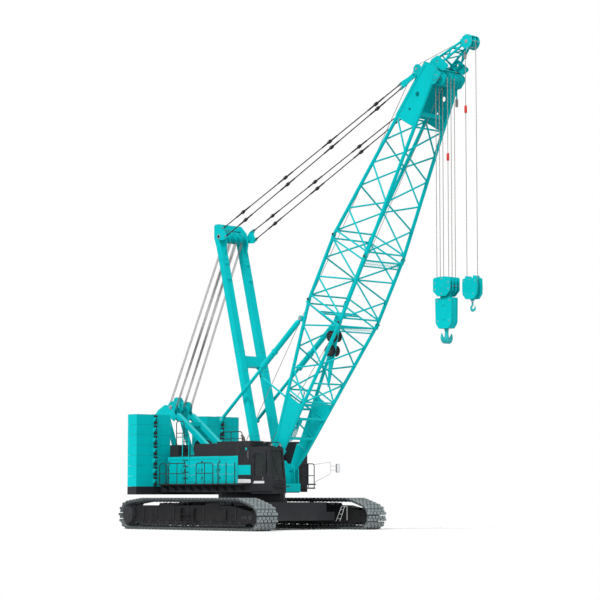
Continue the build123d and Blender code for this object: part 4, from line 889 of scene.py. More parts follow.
def add_joint_pins(form, joint):
    """The pins through the fingers of a joint, with their heads."""
    for rise in (HALF_DEPTH, -HALF_DEPTH):
        for s in SIDES:
            inner = place(BOOM, joint, rise, s * (HALF_WIDTH - 0.085))
            form.turned(inner, (0, s, 0), [
                (0.0, 0.02), (0.01, 0.032), (0.17, 0.032), (0.172, 0.046), (0.195, 0.046), (0.2, 0.04),
            ], "black", 16)


def add_catwalk(form, along):
    """A step frame on the belly below a cross frame: a bar and an open grating."""
    width = 0.26
    count = 22
    half = half_width(along) - 0.1
    rise = belly_rise(along) - 0.03
    run = place(BOOM, width, 0) - place(BOOM, 0, 0)
    form.bars([(chord_point(along, -1, 1), chord_point(along, -1, -1), LACING * 0.8)], "teal", 12)
    lows = [place(BOOM, along, rise, -half + 2 * half * i / count) for i in range(count + 1)]
    slats = [(low, low + run, 0.007) for low in lows]
    for share in (0.0, 0.5, 1.0):
        slats.append((*(place(BOOM, along + width * share, rise, side) for side in (-half, half)), 0.01))
    form.bars(slats, "teal", 6)


def add_side_plate(form, outline, s, half, holes=()):
    """A plate that follows the taper of one side of the boom."""
    near, far = (lambda t: s * half_width(t) - half), (lambda t: s * half_width(t) + half)
    form.slab(outline, near, far, "teal", BOOM, holes)


def add_foot_plates(form):
    """Side plates of the boom's foot with their lugs, bolts, pipes and cross tubes."""
    start, end = 1.08, 3.52
    rear = (start, back_rise(start) + CHORD)
    front = (start, belly_rise(start) - CHORD)
    middle = 0.5 * (back_rise(end) + belly_rise(end))
    outline = [
        rear, (end, back_rise(end) + CHORD), (end - 0.16, middle + 0.25), (end - 0.16, middle - 0.25),
        (end, belly_rise(end) - CHORD), front,
    ]
    foot = [
        (-0.15, 0.06), (-0.1, 0.12), (0.06, 0.15), rear, front, (0.06, -0.15), (-0.1, -0.12), (-0.15, -0.06),
    ]
    low, high = start + 0.2, end - 0.3
    rows = []
    for s in SIDES:
        add_side_plate(form, outline, s, 0.02)
        form.slab(foot, s * (FOOT_SIDE - 0.09), s * (FOOT_SIDE + 0.09), "teal", BOOM,
                  [circle((0, 0), 0.0768)])
        for share in (0.2, 0.5, 0.8):
            for along in (start + 0.12, high):
                rise = belly_rise(along) + (back_rise(along) - belly_rise(along)) * share
                rows.append((side_point(along, rise, s, 0.02), Vector((0, s, 0))))
        form.bars([
            (side_point(low, edge(low) - drop, s, 0.02),
             side_point(high, edge(high) - 5 * drop, s, 0.02), 0.012)
            for edge, drop in ((back_rise, 0.02), (belly_rise, -0.02))
        ], "teal", 8)
    bolts(form, rows, "teal", 0.028)
    tubes = [(chord_point(a, -1, 1), chord_point(a, -1, -1), 0.06) for a in (1.705, 2.71, 3.43)]
    tubes.append((chord_point(2.71, 1, 1), chord_point(2.71, 1, -1), 0.05))
    braces = ((1.705, 2.71), (2.71, 3.43))
    tubes += [(chord_point(a, -1, 1), chord_point(b, 1, -1), LACING) for a, b in braces]
    form.bars(tubes, "teal", 16)


def add_hoses(form):
    """Five hoses at the boom's foot, and the block they pass."""
    for i in range(5):
        side = -0.25 + 0.055 * i
        hose = (
            (1.3 + 0.04 * i, -0.05, side), (1.9, -0.1 - 0.03 * i, side - 0.15),
            (2.35, -0.22, side - 0.05 * i),
            (2.7, 0.1 + 0.03 * i, side - 0.1), (3.3, 0.15, side - 0.03 * i),
            (3.75, -0.1 + 0.05 * i, -0.5 + 0.03 * i),
        )
        form.tube(rounded([place(BOOM, *point) for point in hose], 0.25, 5), 0.018, "teal", 8)
    form.slab(box_outline((2.2, -0.15), (2.5, 0.05)), -0.4, -0.05, "teal", BOOM)


def add_backstop_eyes(form):
    """Ears on the back chords with the pins of the backstops."""
    rise = back_rise(EYE_ALONG) + EYE_LIFT
    ear = [
        (EYE_ALONG - 0.15, back_rise(EYE_ALONG - 0.15)), (EYE_ALONG - 0.085, rise),
        (EYE_ALONG - 0.06, rise + 0.065), (EYE_ALONG, rise + 0.088), (EYE_ALONG + 0.06, rise + 0.065),
        (EYE_ALONG + 0.09, rise), (EYE_ALONG + 0.18, back_rise(EYE_ALONG + 0.18)),
    ]
    for s in SIDES:
        form.slab(ear, s * 0.94, s * 0.985, "teal", BOOM)
        form.turned(place(BOOM, EYE_ALONG, rise, s * 0.93), (0, s, 0), [
            (0.0, 0.07), (0.01, 0.07), (0.012, 0.05), (0.185, 0.05), (0.186, 0.078), (0.204, 0.078),
            (0.205, 0.05),
        ], "steel", 20)


def make_boom_base():
    """Base section: foot plates, lattice, guide plate, backstop eyes and catwalk."""
    form = Form()
    add_section(form, (0.9, JOINT_1 - CHORD_GAP), (3.58, GUIDE_END), 4)
    add_lugs(form, JOINT_1, -1, (-0.04, 0.04))
    add_joint_pins(form, JOINT_1)
    add_catwalk(form, JOINT_1 - STEP_GAP)
    add_foot_plates(form)
    add_hoses(form)
    add_backstop_eyes(form)
    low = belly_rise(GUIDE_START) - 0.03
    guide = [
        (GUIDE_START - 0.12, low), (GUIDE_START + 0.12, low), (GUIDE_END, GUIDE_TOP - 0.22),
        (GUIDE_END, GUIDE_TOP + 0.12), (GUIDE_END - 0.9, GUIDE_TOP + 0.06),
    ]
    form.slab(guide, -0.03, 0.03, "teal", BOOM, [circle((5.2, -0.62), 0.07, 16)])
    half = half_width(GUIDE_END)
    cross = [
        (*(place(BOOM, GUIDE_END, rise, side) for side in (half, -half)), LACING) for rise in (0.08, 0.28)
    ]
    cross.append((chord_point(GUIDE_START, -1, 1), chord_point(GUIDE_START, -1, -1), LACING))
    form.bars(cross, "teal", 14)
    finish_piece("boom_base_lattice", form, "boom", ["boom_base"])


def make_boom_insert():
    """Insert section between the two pinned joints."""
    form = Form()
    ends = [(JOINT_1 + gap, JOINT_2 - gap) for gap in (CHORD_GAP, FRAME_GAP)]
    add_section(form, *ends, 3)
    add_lugs(form, JOINT_1, 1, (0.0,))
    add_lugs(form, JOINT_2, -1, (-0.04, 0.04))
    add_joint_pins(form, JOINT_2)
    add_catwalk(form, JOINT_2 - STEP_GAP)
    finish_piece("boom_insert_lattice", form, "boom", ["boom_insert"])


def add_head_plates(form):
    """Side plates of the head with bosses, axle ends, edge beads and bolts, and the plate between them."""
    a = HEAD_PLATE_START
    half = HEAD_PLATE_HALF
    head = [
        (a, back_rise(a) + 0.09), (BOOM_END, back_rise(BOOM_END) + 0.09), (BOOM_END + 0.06, -0.3),
        (BOOM_END - 0.1, -0.9), (BOOM_END - 0.25, -0.93), (BOOM_END - 0.56, -0.86),
        (BOOM_END - 0.7, -0.66), (a, belly_rise(a) - 0.06),
    ]
    holes = [circle((BOOM_END - 1.31, -0.19), 0.11), circle((BOOM_END - 2.0, -0.12), 0.07, 16)]
    for s in SIDES:
        add_side_plate(form, head, s, half, holes)
        form.turned(place(BOOM, *PENDANT_ANCHOR, s * 0.7), (0, s, 0), [
            (0.0, 0.11), (0.149, 0.11),
        ], "teal", 24)
        axle = side_point(*HEAD_SHEAVE, s, half)
        form.turned(axle, (0, s, 0), [
            (-0.01, 0.15), (0.012, 0.15), (0.014, 0.1), (0.035, 0.1), (0.04, 0.08),
        ], "teal", 24)
        bolts(form, bolt_circle(axle + Vector((0, s * 0.012, 0)), (0, s, 0), 0.125, 6), "steel", 0.015)
        ridge = [side_point(t, r, s, half) for t, r in head]
        form.bars([(p, q, 0.014) for p, q in zip(ridge, ridge[1:])], "teal", 8)
        rows = []
        for t in (a + 0.12, a + 0.3, a + 0.48):
            for rise in (back_rise(t) - 0.12, belly_rise(t) + 0.12):
                rows.append((side_point(t, rise, s, half), Vector((0, s, 0))))
        bolts(form, rows, "teal", 0.024)
    low, high = a + 0.08, BOOM_END - 0.12
    closing = [
        (low, back_rise(low) - 0.02), (high, back_rise(BOOM_END) - 0.02),
        (high, back_rise(BOOM_END) + 0.01), (low, back_rise(low) + 0.01),
    ]
    form.slab(closing, lambda t: -half_width(t) + 0.04, lambda t: half_width(t) - 0.04, "teal", BOOM)


def add_switch(form, point, profile):
    """A limit switch that hangs below a point."""
    form.turned(point, (0, 0, -1), profile, "grey_switch", 14)


def make_boom_tip():
    """Tip section with its head plates, axle, cross tube and sheave stand."""
    form = Form()
    add_section(form, (JOINT_2 + CHORD_GAP, BOOM_END - 0.1), (JOINT_2 + FRAME_GAP, HEAD_PLATE_START), 5)
    add_lugs(form, JOINT_2, 1, (0.0,))
    add_head_plates(form)
    tube_along = BOOM_END - 2.01
    reach = half_width(tube_along)
    form.tube([place(BOOM, tube_along, -0.476, side) for side in (reach, -reach)], 0.09, "teal", 24)
    start = place(BOOM, *HEAD_SHEAVE, -HEAD_HALF_WIDTH)
    form.tube([start, start + LEFT * (2 * HEAD_HALF_WIDTH)], 0.08, "steel", 24)
    stand = [(GUIDE_SHEAVE[0] + a, b) for a, b in (
        (-0.26, 0.09), (-0.1, 0.7), (-0.05, 0.75), (0.05, 0.75), (0.1, 0.7), (0.26, 0.06),
    )]
    for start in (GUIDE_SIDE - 0.055, GUIDE_SIDE + 0.035):
        form.slab(stand, start, start + 0.02, "teal", BOOM, [circle((GUIDE_SHEAVE[0], 0.28), 0.07, 14)])
    form.turned(place(BOOM, *GUIDE_SHEAVE, GUIDE_SIDE - 0.075), (0, 1, 0), [
        (0.0, 0.055), (0.018, 0.055), (0.02, 0.04), (0.13, 0.04), (0.132, 0.055), (0.15, 0.055),
    ], "steel", 18)
    bracket = place(BOOM, BOOM_END - 0.62, -0.86, 0.55)
    low = bracket - Vector((0, 0, 0.42))
    form.tube([bracket, low], 0.03, "teal", 10)
    add_switch(form, low, [(0.0, 0.03), (0.02, 0.06), (0.3, 0.06), (0.33, 0.04)])
    finish_piece("boom_tip_lattice", form, "boom", ["boom_tip"])


def grooved_sheave(form, centre, side, radius, bore, width):
    """A rope sheave: rim with its groove, thin web, and a hub round its bore."""
    half = width / 2
    groove = min(0.03, half * 0.6)
    outer = [(-half, radius), (-half * 0.75, radius), (-groove * 0.6, radius - 0.045)]
    inner = [
        (half * 0.9, radius - 0.085), (half * 0.25, radius - 0.1), (half * 0.25, bore * 1.9),
        (half, bore * 1.6), (half, bore),
    ]
    profile = [*outer, (0.0, radius - 0.055), *((-a, r) for a, r in reversed(outer)), *mirrored(inner)]
    form.turned((centre[0], side, centre[1]), (0, 1, 0), profile, "teal", 40, ring=True)


def make_sheaves():
    """All sheave sets, each on its own body."""
    guide = place(BOOM, *GUIDE_SHEAVE)
    for name, body, slot, centre, sides, offsets, radius, bore, width in (
        ("head_sheave_set", "head_sheaves", "teal", (HOOK_X, HOOK_Z),
         (-0.48, -0.3, -0.12, 0.12, 0.3, 0.48), (-0.038, 0.038), SHEAVE_RADIUS, 0.0803, 0.072),
        ("aux_head_sheave", "aux_sheave", "teal", (AUX_X, AUX_Z),
         (0.0,), (0.0,), AUX_SHEAVE_RADIUS, 0.0503, 0.12),
        ("guide_sheave_wheel", "guide_sheave", "black", (guide.x, guide.z),
         (GUIDE_SIDE,), (0.0,), 0.2, 0.0403, 0.06),
        ("gantry_sheave_set", "gantry_sheaves", "black", GANTRY_AXLE,
         (-0.43, 0.0, 0.43), HOIST_SHEAVES, 0.28, 0.0603, 0.0345),
        ("mast_sheave_set", "mast_sheaves", "black", MAST_PIVOT,
         (-0.33, 0.0, 0.33), HOIST_SHEAVES, 0.27, 0.0703, 0.0345),
    ):
        form = Form()
        for side in sides:
            for offset in offsets:
                grooved_sheave(form, centre, side + offset, radius, bore, width)
        finish_piece(name, form, body, [body])


def make_guide_rollers():
    """Drum-like rollers that keep the hoist ropes clear of the base section."""
    form = Form()
    flange = ROLLER_RADIUS + 0.035
    for along in ROLLER_PLACES:
        for s in SIDES:
            start = place(BOOM, along, guide_rise(along) + 0.06, s * (0.03 + CLEAR))
            form.turned(start, (0, s, 0), [
                (0.0, flange), (0.012, flange), (0.02, ROLLER_RADIUS), (0.18, ROLLER_RADIUS), (0.188, flange),
                (0.2, flange), (0.2, 0.16), (0.186, 0.15), (0.186, 0.07), (0.2, 0.06),
            ], "black", 32)
            bolts(form, bolt_circle(start + Vector((0, s * 0.186, 0)), (0, s, 0), 0.11, 6), "steel", 0.014)
    finish_piece("guide_roller_set", form, "boom", ["guide_rollers"])


def make_mast_stops():
    """Struts that carry the laid-down mast, with feet and rubber tops."""
    form = Form()
    along = 3.22
    foot = back_rise(along + 0.055) + CHORD + CLEAR
    side = MAST_LEG_SIDE + 0.17 + 0.055 + 0.02
    for s in SIDES:
        base = place(BOOM, along, foot, s * side)
        up = (place(BOOM, along, foot + 1.0, s * side) - base).normalized()
        form.turned(base, up, [
            (0.0, 0.055), (0.03, 0.055), (0.035, 0.042), (1.7, 0.042), (1.705, 0.055), (1.79, 0.055),
        ], "teal", 16)
        form.turned(base + up * 1.79, up, [(0.0, 0.054), (0.05, 0.05), (0.06, 0.03)], "rubber", 16)
    finish_piece("mast_stop_struts", form, "boom", ["mast_stops"])


def add_jib_frame(form):
    """Chords, foot pins, foot plates and lacing of the auxiliary jib."""
    root_along = BOOM_END - 0.06
    reach = half_width(root_along + 0.05) - 0.03 - CLEAR
    low_rise = -0.42
    foot_plate = [
        (11.62, 18.93), (11.6, 19.05), (11.66, 19.12), (11.98, 19.23), (12.06, 19.2), (12.56, 18.78),
        (12.58, 18.68), (12.3, 18.55),
    ]
    for s in SIDES:
        form.plate(foot_plate, s, reach - 0.1, reach - 0.07, "teal", holes=[circle((11.98, 19.0), 0.05, 14)])
    chords = {}
    bars = []
    for rise, tip_rise in ((0.0, 0.06), (low_rise, -0.11)):
        for s in SIDES:
            form.turned(place(BOOM, root_along, rise, s * (reach - 0.13)), (0, s, 0), [
                (0.0, 0.065), (0.1, 0.065), (0.102, 0.05), (0.13, 0.05),
            ], "steel", 18)
        bars.append((*(place(BOOM, root_along, rise, side) for side in (-reach + 0.02, reach - 0.02)), 0.042))
        for s in SIDES:
            root = place(BOOM, root_along, rise, s * (reach - 0.06))
            tip = Vector((AUX_X - 0.24, s * 0.225, AUX_Z + tip_rise))
            chords[rise, s] = (root, tip)
            bars.append((root, tip, 0.05))

    def lace(one, other, share, other_share):
        (root, tip), (other_root, other_tip) = chords[one], chords[other]
        return root.lerp(tip, share), other_root.lerp(other_tip, other_share), 0.028

    lacing = [
        lace((0.0, s), (low_rise, s), *shares)
        for s in SIDES for shares in ((0.1, 0.4), (0.7, 0.4), (0.7, 0.9))
    ]
    lacing += [
        lace((rise, 1), (rise, -1), *shares)
        for rise in (0.0, low_rise) for shares in ((0.1, 0.4), (0.7, 0.4), (0.7, 0.7))
    ]
    form.bars(bars, "teal", 16)
    form.bars(lacing, "teal", 12)


def make_aux_jib():
    """Auxiliary jib: laced chords, foot pins and the cheeks round the sheave."""
    form = Form()
    add_jib_frame(form)
    cheek_radius = 0.294
    cheek = [(AUX_X - 0.34, AUX_Z - 0.19), (AUX_X - 0.34, AUX_Z + 0.13)]
    cheek += [
        (AUX_X + cheek_radius * cos(t), AUX_Z + cheek_radius * sin(t))
        for t in (radians(150 - 300 * i / 20) for i in range(21))
    ]
    for s in SIDES:
        form.slab(cheek, s * 0.2, s * 0.25, "teal")
        face = Vector((AUX_X, s * 0.25, AUX_Z))
        form.turned(face, (0, s, 0), [
            (-0.25, 0.05), (0.0, 0.05), (0.0, 0.08), (0.012, 0.08), (0.02, 0.05),
        ], "steel", 20)
        bolts(form, bolt_circle(face, (0, s, 0), 0.255, 8, 0.2), "steel", 0.016)
    for t in (60, 0, -60, 120, -120):
        spot = Vector((AUX_X + 0.28 * cos(radians(t)), -0.2, AUX_Z + 0.28 * sin(radians(t))))
        form.tube([spot, spot + LEFT * 0.4], 0.012, "steel", 10)
    inside = cheek_radius - 0.008
    section = ((cheek_radius, -0.2), (cheek_radius, 0.2), (inside, 0.2), (inside, -0.2))
    form.loft([
        [(AUX_X + r * cos(t), y, AUX_Z + r * sin(t)) for r, y in section]
        for t in (radians(40 + 110 * i / 10) for i in range(11))
    ], "teal")
    arm = Vector((AUX_X - 0.3, 0.0, AUX_Z - 0.1))
    switch = Vector((AUX_X - 0.29, 0.0, AUX_Z - 0.36))
    form.tube([arm, switch], 0.025, "teal", 10)
    form.tube([arm - LEFT * 0.2, arm + LEFT * 0.2], 0.025, "teal", 10)
    add_switch(form, switch, [(0.0, 0.03), (0.02, 0.055), (0.26, 0.055), (0.28, 0.03)])
    finish_piece("aux_jib_frame", form, "boom", ["aux_jib"])


def make_pendants():
    """Pendant bars with their end links, sockets and coupling sleeves."""
    form = Form()
    anchor = place(BOOM, *PENDANT_ANCHOR)
    pivot = Vector((MAST_PIVOT[0], 0, MAST_PIVOT[1]))
    run = (anchor - pivot).normalized()
    up = Vector((-run.z, 0, run.x))
    sleeve = [
        (0.0, 0.026), (0.04, 0.034), (0.38, 0.036), (0.42, 0.055), (0.47, 0.075), (0.57, 0.075),
        (0.62, 0.055), (0.66, 0.036), (1.0, 0.034), (1.04, 0.026),
    ]
    upper = [(0.2, 0.29), (0.48, 0.29), (0.48, 0.15), (0.38, 0.1)]
    mast_end = [(0.115 * cos(t), 0.175 * sin(t)) for t in (radians(100 + 160 * i / 8) for i in range(9))]
    mast_end += [*((a, -b) for a, b in upper), *reversed(upper)]
    upper = [(-0.35, 0.1), (-0.6, 0.14), (-0.88, 0.15), (-0.88, 0.04), (-0.75, 0.025)]
    head_end = [(0.11 * cos(t), 0.11 * sin(t)) for t in (radians(-80 + 160 * i / 8) for i in range(9))]
    head_end += [*upper, *((a, -b) for a, b in reversed(upper))]
    lines = ((0.215, 0.095), (-0.215, -0.095))
    for s in SIDES:
        side = Vector((0, s * PENDANT_SIDE, 0))
        for rear, front in lines:
            start = pivot + side + run * 0.4 + up * rear
            end = anchor + side - run * 0.8 + up * front
            form.tube([start, end], 0.024, "black", 14)
            line = (end - start).normalized()
            for share in (0.12, 0.37, 0.62, 0.87):
                middle = start.lerp(end, share)
                form.turned(middle - line * 0.52, line, sleeve, "black", 16)
                form.turned(middle - LEFT * 0.085, (0, 1, 0), [(0, 0.025), (0.17, 0.025)], "steel", 12)
            for point, sign in ((start, 1), (end, -1)):
                form.turned(point - line * sign * 0.06, line * sign, [
                    (0.0, 0.042), (0.16, 0.042), (0.26, 0.026),
                ], "black", 16)
        for centre, outline, bore in ((pivot, mast_end, 0.0718), (anchor, head_end, 0.05)):
            origin = centre + side
            corners = [origin + run * a + up * b for a, b in outline]
            flat = [(corner.x, corner.z) for corner in corners]
            form.plate(flat, s, PENDANT_SIDE - 0.03, PENDANT_SIDE + 0.03, "teal",
                       holes=[circle((origin.x, origin.z), bore)])
        for rear, front in lines:
            for point in (pivot + side + run * 0.42 + up * rear, anchor + side - run * 0.82 + up * front):
                form.turned(point - LEFT * 0.045, (0, 1, 0), [(0, 0.03), (0.09, 0.03)], "steel", 14)
    finish_piece("pendant_bars", form, "pendants", ["pendants"])


# Tracks
def tangent_angle(centre, radius, outside, turn):
    """Angle of the point where a tangent from an outside point touches a circle, on the side of turn."""
    dx, dz = outside[0] - centre[0], outside[1] - centre[1]
    angle = atan2(dz, dx) + turn * acos(radius / hypot(dx, dz))
    return atan2(sin(angle), cos(angle))


def arc(centre, radius, start, end, steps=60):
    """Points along an arc between two angles."""
    angles = [start + (end - start) * i / steps for i in range(steps + 1)]
    return [(centre[0] + radius * cos(t), centre[1] + radius * sin(t)) for t in angles]


def track_pins():
    """The link pins round one track, in order."""
    down = -pi / 2
    rear, front = (CARRIER_REAR, PIN_TOP), (CARRIER_FRONT, PIN_TOP)
    leave = tangent_angle(DRIVE, DRIVE_RADIUS, rear, 1) - 2 * pi
    meet = tangent_angle(IDLER, IDLER_RADIUS, front, -1)
    path = [(IDLER[0], SHOE_HEIGHT), (DRIVE[0], SHOE_HEIGHT), *arc(DRIVE, DRIVE_RADIUS, down, leave)[1:]]
    path += [rear, front, *arc(IDLER, IDLER_RADIUS, meet, down)]
    lengths = [0.0]
    for (ax, az), (bx, bz) in zip(path, path[1:]):
        lengths.append(lengths[-1] + hypot(bx - ax, bz - az))
    count = round(lengths[-1] / LINK_PITCH)
    pins = []
    index = 0
    for i in range(count):
        target = lengths[-1] * i / count
        while lengths[index + 1] < target:
            index += 1
        share = (target - lengths[index]) / (lengths[index + 1] - lengths[index])
        (ax, az), (bx, bz) = path[index:index + 2]
        pins.append(Vector((ax + (bx - ax) * share, 0.0, az + (bz - az) * share)))
    return pins


def add_frustum(form, low, high, look):
    """A block between two rectangles: (x0, x1, y0, y1, z)."""
    form.loft([
        [(x0, y0, z), (x1, y0, z), (x1, y1, z), (x0, y1, z)] for x0, x1, y0, y1, z in (low, high)
    ], look)


def shoe_form():
    """One track shoe: a base plate, two staggered rows of lands, link rails and a drive lug."""
    form = Form()
    plate = [(0.006, 0.04), (0.01, 0.085), (0.235, 0.085), (0.239, 0.04), (0.225, 0.028), (0.02, 0.028)]
    form.loft([[(x, y, z) for x, z in plate] for y in (-0.55, 0.55)], "shoe")
    for x0, x1, half, middles in (
        (0.008, 0.12, 0.092, (-0.43, -0.215, 0.0, 0.215, 0.43)),
        (0.125, 0.237, 0.088, (-0.5, -0.3225, -0.1075, 0.1075, 0.3225, 0.5)),
    ):
        for middle in middles:
            y0, y1 = middle - half, middle + half
            top = (x0 + 0.008, x1 - 0.008, y0 + 0.01, y1 - 0.01, 0.13)
            add_frustum(form, (x0, x1, y0, y1, 0.08), top, "shoe")
    for y in (-0.17, 0.17):
        rail = (0.012, 0.233, y - 0.045, y + 0.045)
        add_frustum(form, (*rail, -0.045), (*rail, 0.032), "shoe")
    add_frustum(form, (0.075, 0.17, -0.07, 0.07, 0.032), (0.1, 0.145, -0.05, 0.05, -0.06), "shoe")
    return form


def make_tracks():
    """Both track loops, shoe by shoe round the pitch line."""
    pins = track_pins()
    for s, name in ((1, "left"), (-1, "right")):
        spots = []
        for here, after in zip(pins, pins[1:] + pins[:1]):
            along = (after - here).normalized()
            spots.append((here + Vector((0, s * TRACK_SIDE, 0)), Vector((-along.z, 0, along.x)), along))
        form = Form()
        form.take(set_forms(spots, shoe_form(), "shoe"), "shoe")
        finish_piece(f"track_shoes_{name}", form, "lower", [f"track_{name}"])


def double_flange(form, x, z, side, tread, flange, sides=24):
    """A wheel with two flanges on a shaft across the machine."""
    width = 2 * ROLLER_HALF
    half = [
        (0.0, tread * 0.5), (0.12, tread * 0.5), (0.13, tread * 0.8), (0.2, tread * 0.86), (0.21, tread),
        (0.32, tread), (0.33, flange), (0.4, flange * 0.98), (0.42, tread * 0.7),
    ]
    profile = [(width * share, radius) for share, radius in mirrored(half, 0.5)]
    form.turned((x, side - width / 2, z), (0, 1, 0), profile, "shoe", sides)


def add_wheel(form, centre, middle, rim, teeth):
    """An idler or a drive tumbler on its shaft, with its teeth."""
    x, z = centre
    form.turned((x, middle - 0.26, z), (0, 1, 0), [
        (0.0, 0.13), (0.02, 0.13), (0.022, rim * 0.62), (0.0, rim * 0.8), (0.0, rim * 0.97),
        (0.015, rim), (0.17, rim), (0.18, rim * 0.86), (0.34, rim * 0.86), (0.35, rim),
        (0.505, rim), (0.52, rim * 0.97), (0.52, rim * 0.8), (0.498, rim * 0.62), (0.5, 0.13), (0.52, 0.13),
    ], "shoe", 48)
    form.tube([(x, middle - ROLLER_HALF, z), (x, middle + ROLLER_HALF, z)], 0.12, "steel", 28)
    for i in range(teeth):
        angle = 2 * pi * i / teeth
        root = Vector((x + rim * 0.8 * cos(angle), middle, z + rim * 0.8 * sin(angle)))
        out = Vector((cos(angle), 0, sin(angle)))
        side = Vector((-out.z, 0, out.x))
        form.loft([
            [base + side * a * wide + LEFT * b * deep for a, b in ((-1, -1), (1, -1), (1, 1), (-1, 1))]
            for base, wide, deep in ((root, 0.05, 0.07), (root + out * (rim * 0.19), 0.03, 0.055))
        ], "shoe")


def make_running_gear():
    """Track rollers, carrier rollers, idlers, drive tumblers and final drives."""
    for name, places, z, tread, flange, sides in (
        ("track_roller", TRACK_ROLLERS, 0.3403, 0.125, 0.14, 24),
        ("carrier_roller", [middle + d for middle in CARRIER_MIDDLES for d in (-0.35, 0.35)],
         1.1177, 0.055, 0.062, 20),
    ):
        form = Form()
        for x in places:
            for s in SIDES:
                double_flange(form, x, z, s * TRACK_SIDE, tread, flange, sides)
        finish_piece(f"{name}_set", form, "lower", [f"{name}s"])
    for name, centre, pitch, teeth in (
        ("idlers", IDLER, IDLER_RADIUS, 0), ("drive_tumblers", DRIVE, DRIVE_RADIUS, 13),
    ):
        form = Form()
        rim = (pitch - 0.07) * cos(asin(LINK_PITCH / 2 / pitch)) - 0.003
        for s in SIDES:
            add_wheel(form, centre, s * TRACK_SIDE, rim, teeth)
        finish_piece(f"{name}_wheels", form, "lower", [name])
    form = Form()
    x, z = DRIVE
    for s in SIDES:
        form.turned((x, s * FRAME_FACE, z), (0, s, 0), [
            (0.0, 0.38), (0.05, 0.38), (0.055, 0.365), (0.06, 0.345), (0.11, 0.34), (0.112, 0.36),
            (0.15, 0.36),
            (0.155, 0.345), (0.18, 0.32), (0.185, 0.2), (0.2, 0.19), (0.2, 0.12), (0.21, 0.115), (0.21, 0.05),
        ], "black", 48)
        bolts(form, bolt_circle((x, s * 3.65, z), (0, s, 0), 0.363, 24), "black", 0.013)
        bolts(form, bolt_circle((x, s * 3.781, z), (0, s, 0), 0.26, 12), "black", 0.018)
        bolts(form, side_spots(s, 3.784, ((x, z + 0.155), (x, z - 0.155))), "steel")
        form.turned((x, s * 2.8, z), (0, -s, 0), [
            (0.0, 0.23), (0.04, 0.23), (0.045, 0.19), (0.16, 0.185), (0.165, 0.21), (0.19, 0.21),
            (0.195, 0.17),
            (0.31, 0.16), (0.33, 0.14),
        ], "black", 32)
        bolts(form, bolt_circle((x, s * 2.76, z), (0, -s, 0), 0.21, 12), "black", 0.014)
    finish_piece("final_drive_units", form, "lower", ["final_drives"])


def add_frame_details(form, s):
    """Covers, ribs, edge strips and the idler's adjuster of one side frame; returns its bolt spots."""
    rows = side_spots(s, 3.65, [(x, z) for x in (1.88, 2.04, 2.2, 2.36, 2.44) for z in (0.45, 0.83)])
    for x in TRACK_ROLLERS:
        form.turned((x, s * FRAME_FACE, 0.36), (0, s, 0), [
            (-0.005, 0.05), (0.012, 0.05), (0.018, 0.03),
        ], "black", 12)
        rows += side_spots(s, FRAME_FACE, ((x - 0.1, 0.37), (x + 0.1, 0.37)))
    for x in (-3.1, -2.2, -1.0, 0.0, 1.0, 3.1):
        form.plate(box_outline((x - 0.012, 0.46), (x + 0.012, 0.98)), s, FRAME_FACE, 3.63, "black")
    places = [(middle + d, 1.1) for middle in CARRIER_MIDDLES for d in (-0.36, -0.12, 0.12, 0.36)]
    rows += side_spots(s, FRAME_FACE, places)
    edges = [-3.5, *(x + d for x in (-1.32, -0.72, -0.12, 0.48) for d in (-0.07, 0.07)), 3.6]
    for side in (2.865, 3.52):
        for x0, x1 in zip(edges[::2], edges[1::2]):
            strip = [(x0, 0.2), (x0 + 0.05, 0.19), (x1 - 0.05, 0.19), (x1, 0.2), (x1, 0.42), (x0, 0.42)]
            form.plate(strip, s, side, side + 0.015, "black")
    face = Vector((4.0, s * FRAME_FACE, 0.56))
    form.turned(face, (0, s, 0), [(0.0, 0.12), (0.02, 0.12), (0.025, 0.09), (0.03, 0.03)], "black", 24)
    rows += bolt_circle(face + Vector((0, s * 0.02, 0)), (0, s, 0), 0.1, 6)
    form.plate(box_outline((3.45, 0.5), (3.8, 0.62)), s, FRAME_FACE, 3.612, "black")
    return rows


def make_lower_details():
    """Bolts, ribs, step rails and covers of the carbody and the side frames."""
    form = Form()
    rows = [spot for s in SIDES for spot in add_frame_details(form, s)]
    for s in SIDES:
        form.bars([
            (Vector((x0, s * 2.76, z0)), Vector((x1, s * 2.76, z1)), radius) for x0, z0, x1, z1, radius in (
                (2.5, 0.36, 2.86, 1.0, 0.016), (2.86, 1.0, 3.2, 1.0, 0.014), (3.2, 1.0, 3.2, 0.4, 0.014),
                (2.75, 0.36, 3.05, 1.0, 0.014), (2.56, 0.46, 2.8, 0.46, 0.012),
                (2.67, 0.66, 2.9, 0.66, 0.012),
                (2.78, 0.86, 3.0, 0.86, 0.012),
            )
        ], "mirror_arm", 8)
    bolts(form, rows, "black", 0.02)
    bolts(form, bolt_circle((0, 0, 1.29), UP, 1.52, 48), "black", 0.018)
    finish_piece("lower_details", form, "lower")


# Ropes, blocks and winches
def add_rope(form, start, end, share, runs=1, sides=8):
    """A straight rope of this share of the ropes' radius, cut into runs that can bend."""
    radius = bpy.context.scene.crane_sizes.rope_radius * share
    points = [start.lerp(end, i / runs) for i in range(runs + 1)] if runs > 1 else [start, end]
    form.tube(points, radius, "wire_rope", sides, mapped=True)


def add_rope_weight(form, point):
    """The red weight of the hoist limit switch, round its rope."""
    bore = bpy.context.scene.crane_sizes.rope_radius + 0.002
    form.turned(point, UP, [
        (0.0, bore), (0.0, 0.045), (0.02, 0.055), (0.28, 0.055), (0.3, 0.045), (0.3, bore),
    ], "red", 18, ring=True)


def leaning(start, end):
    """The direction square to a run in the side plane, upward for a run to the front."""
    run = (end - start).normalized()
    return Vector((-run.z, 0, run.x))


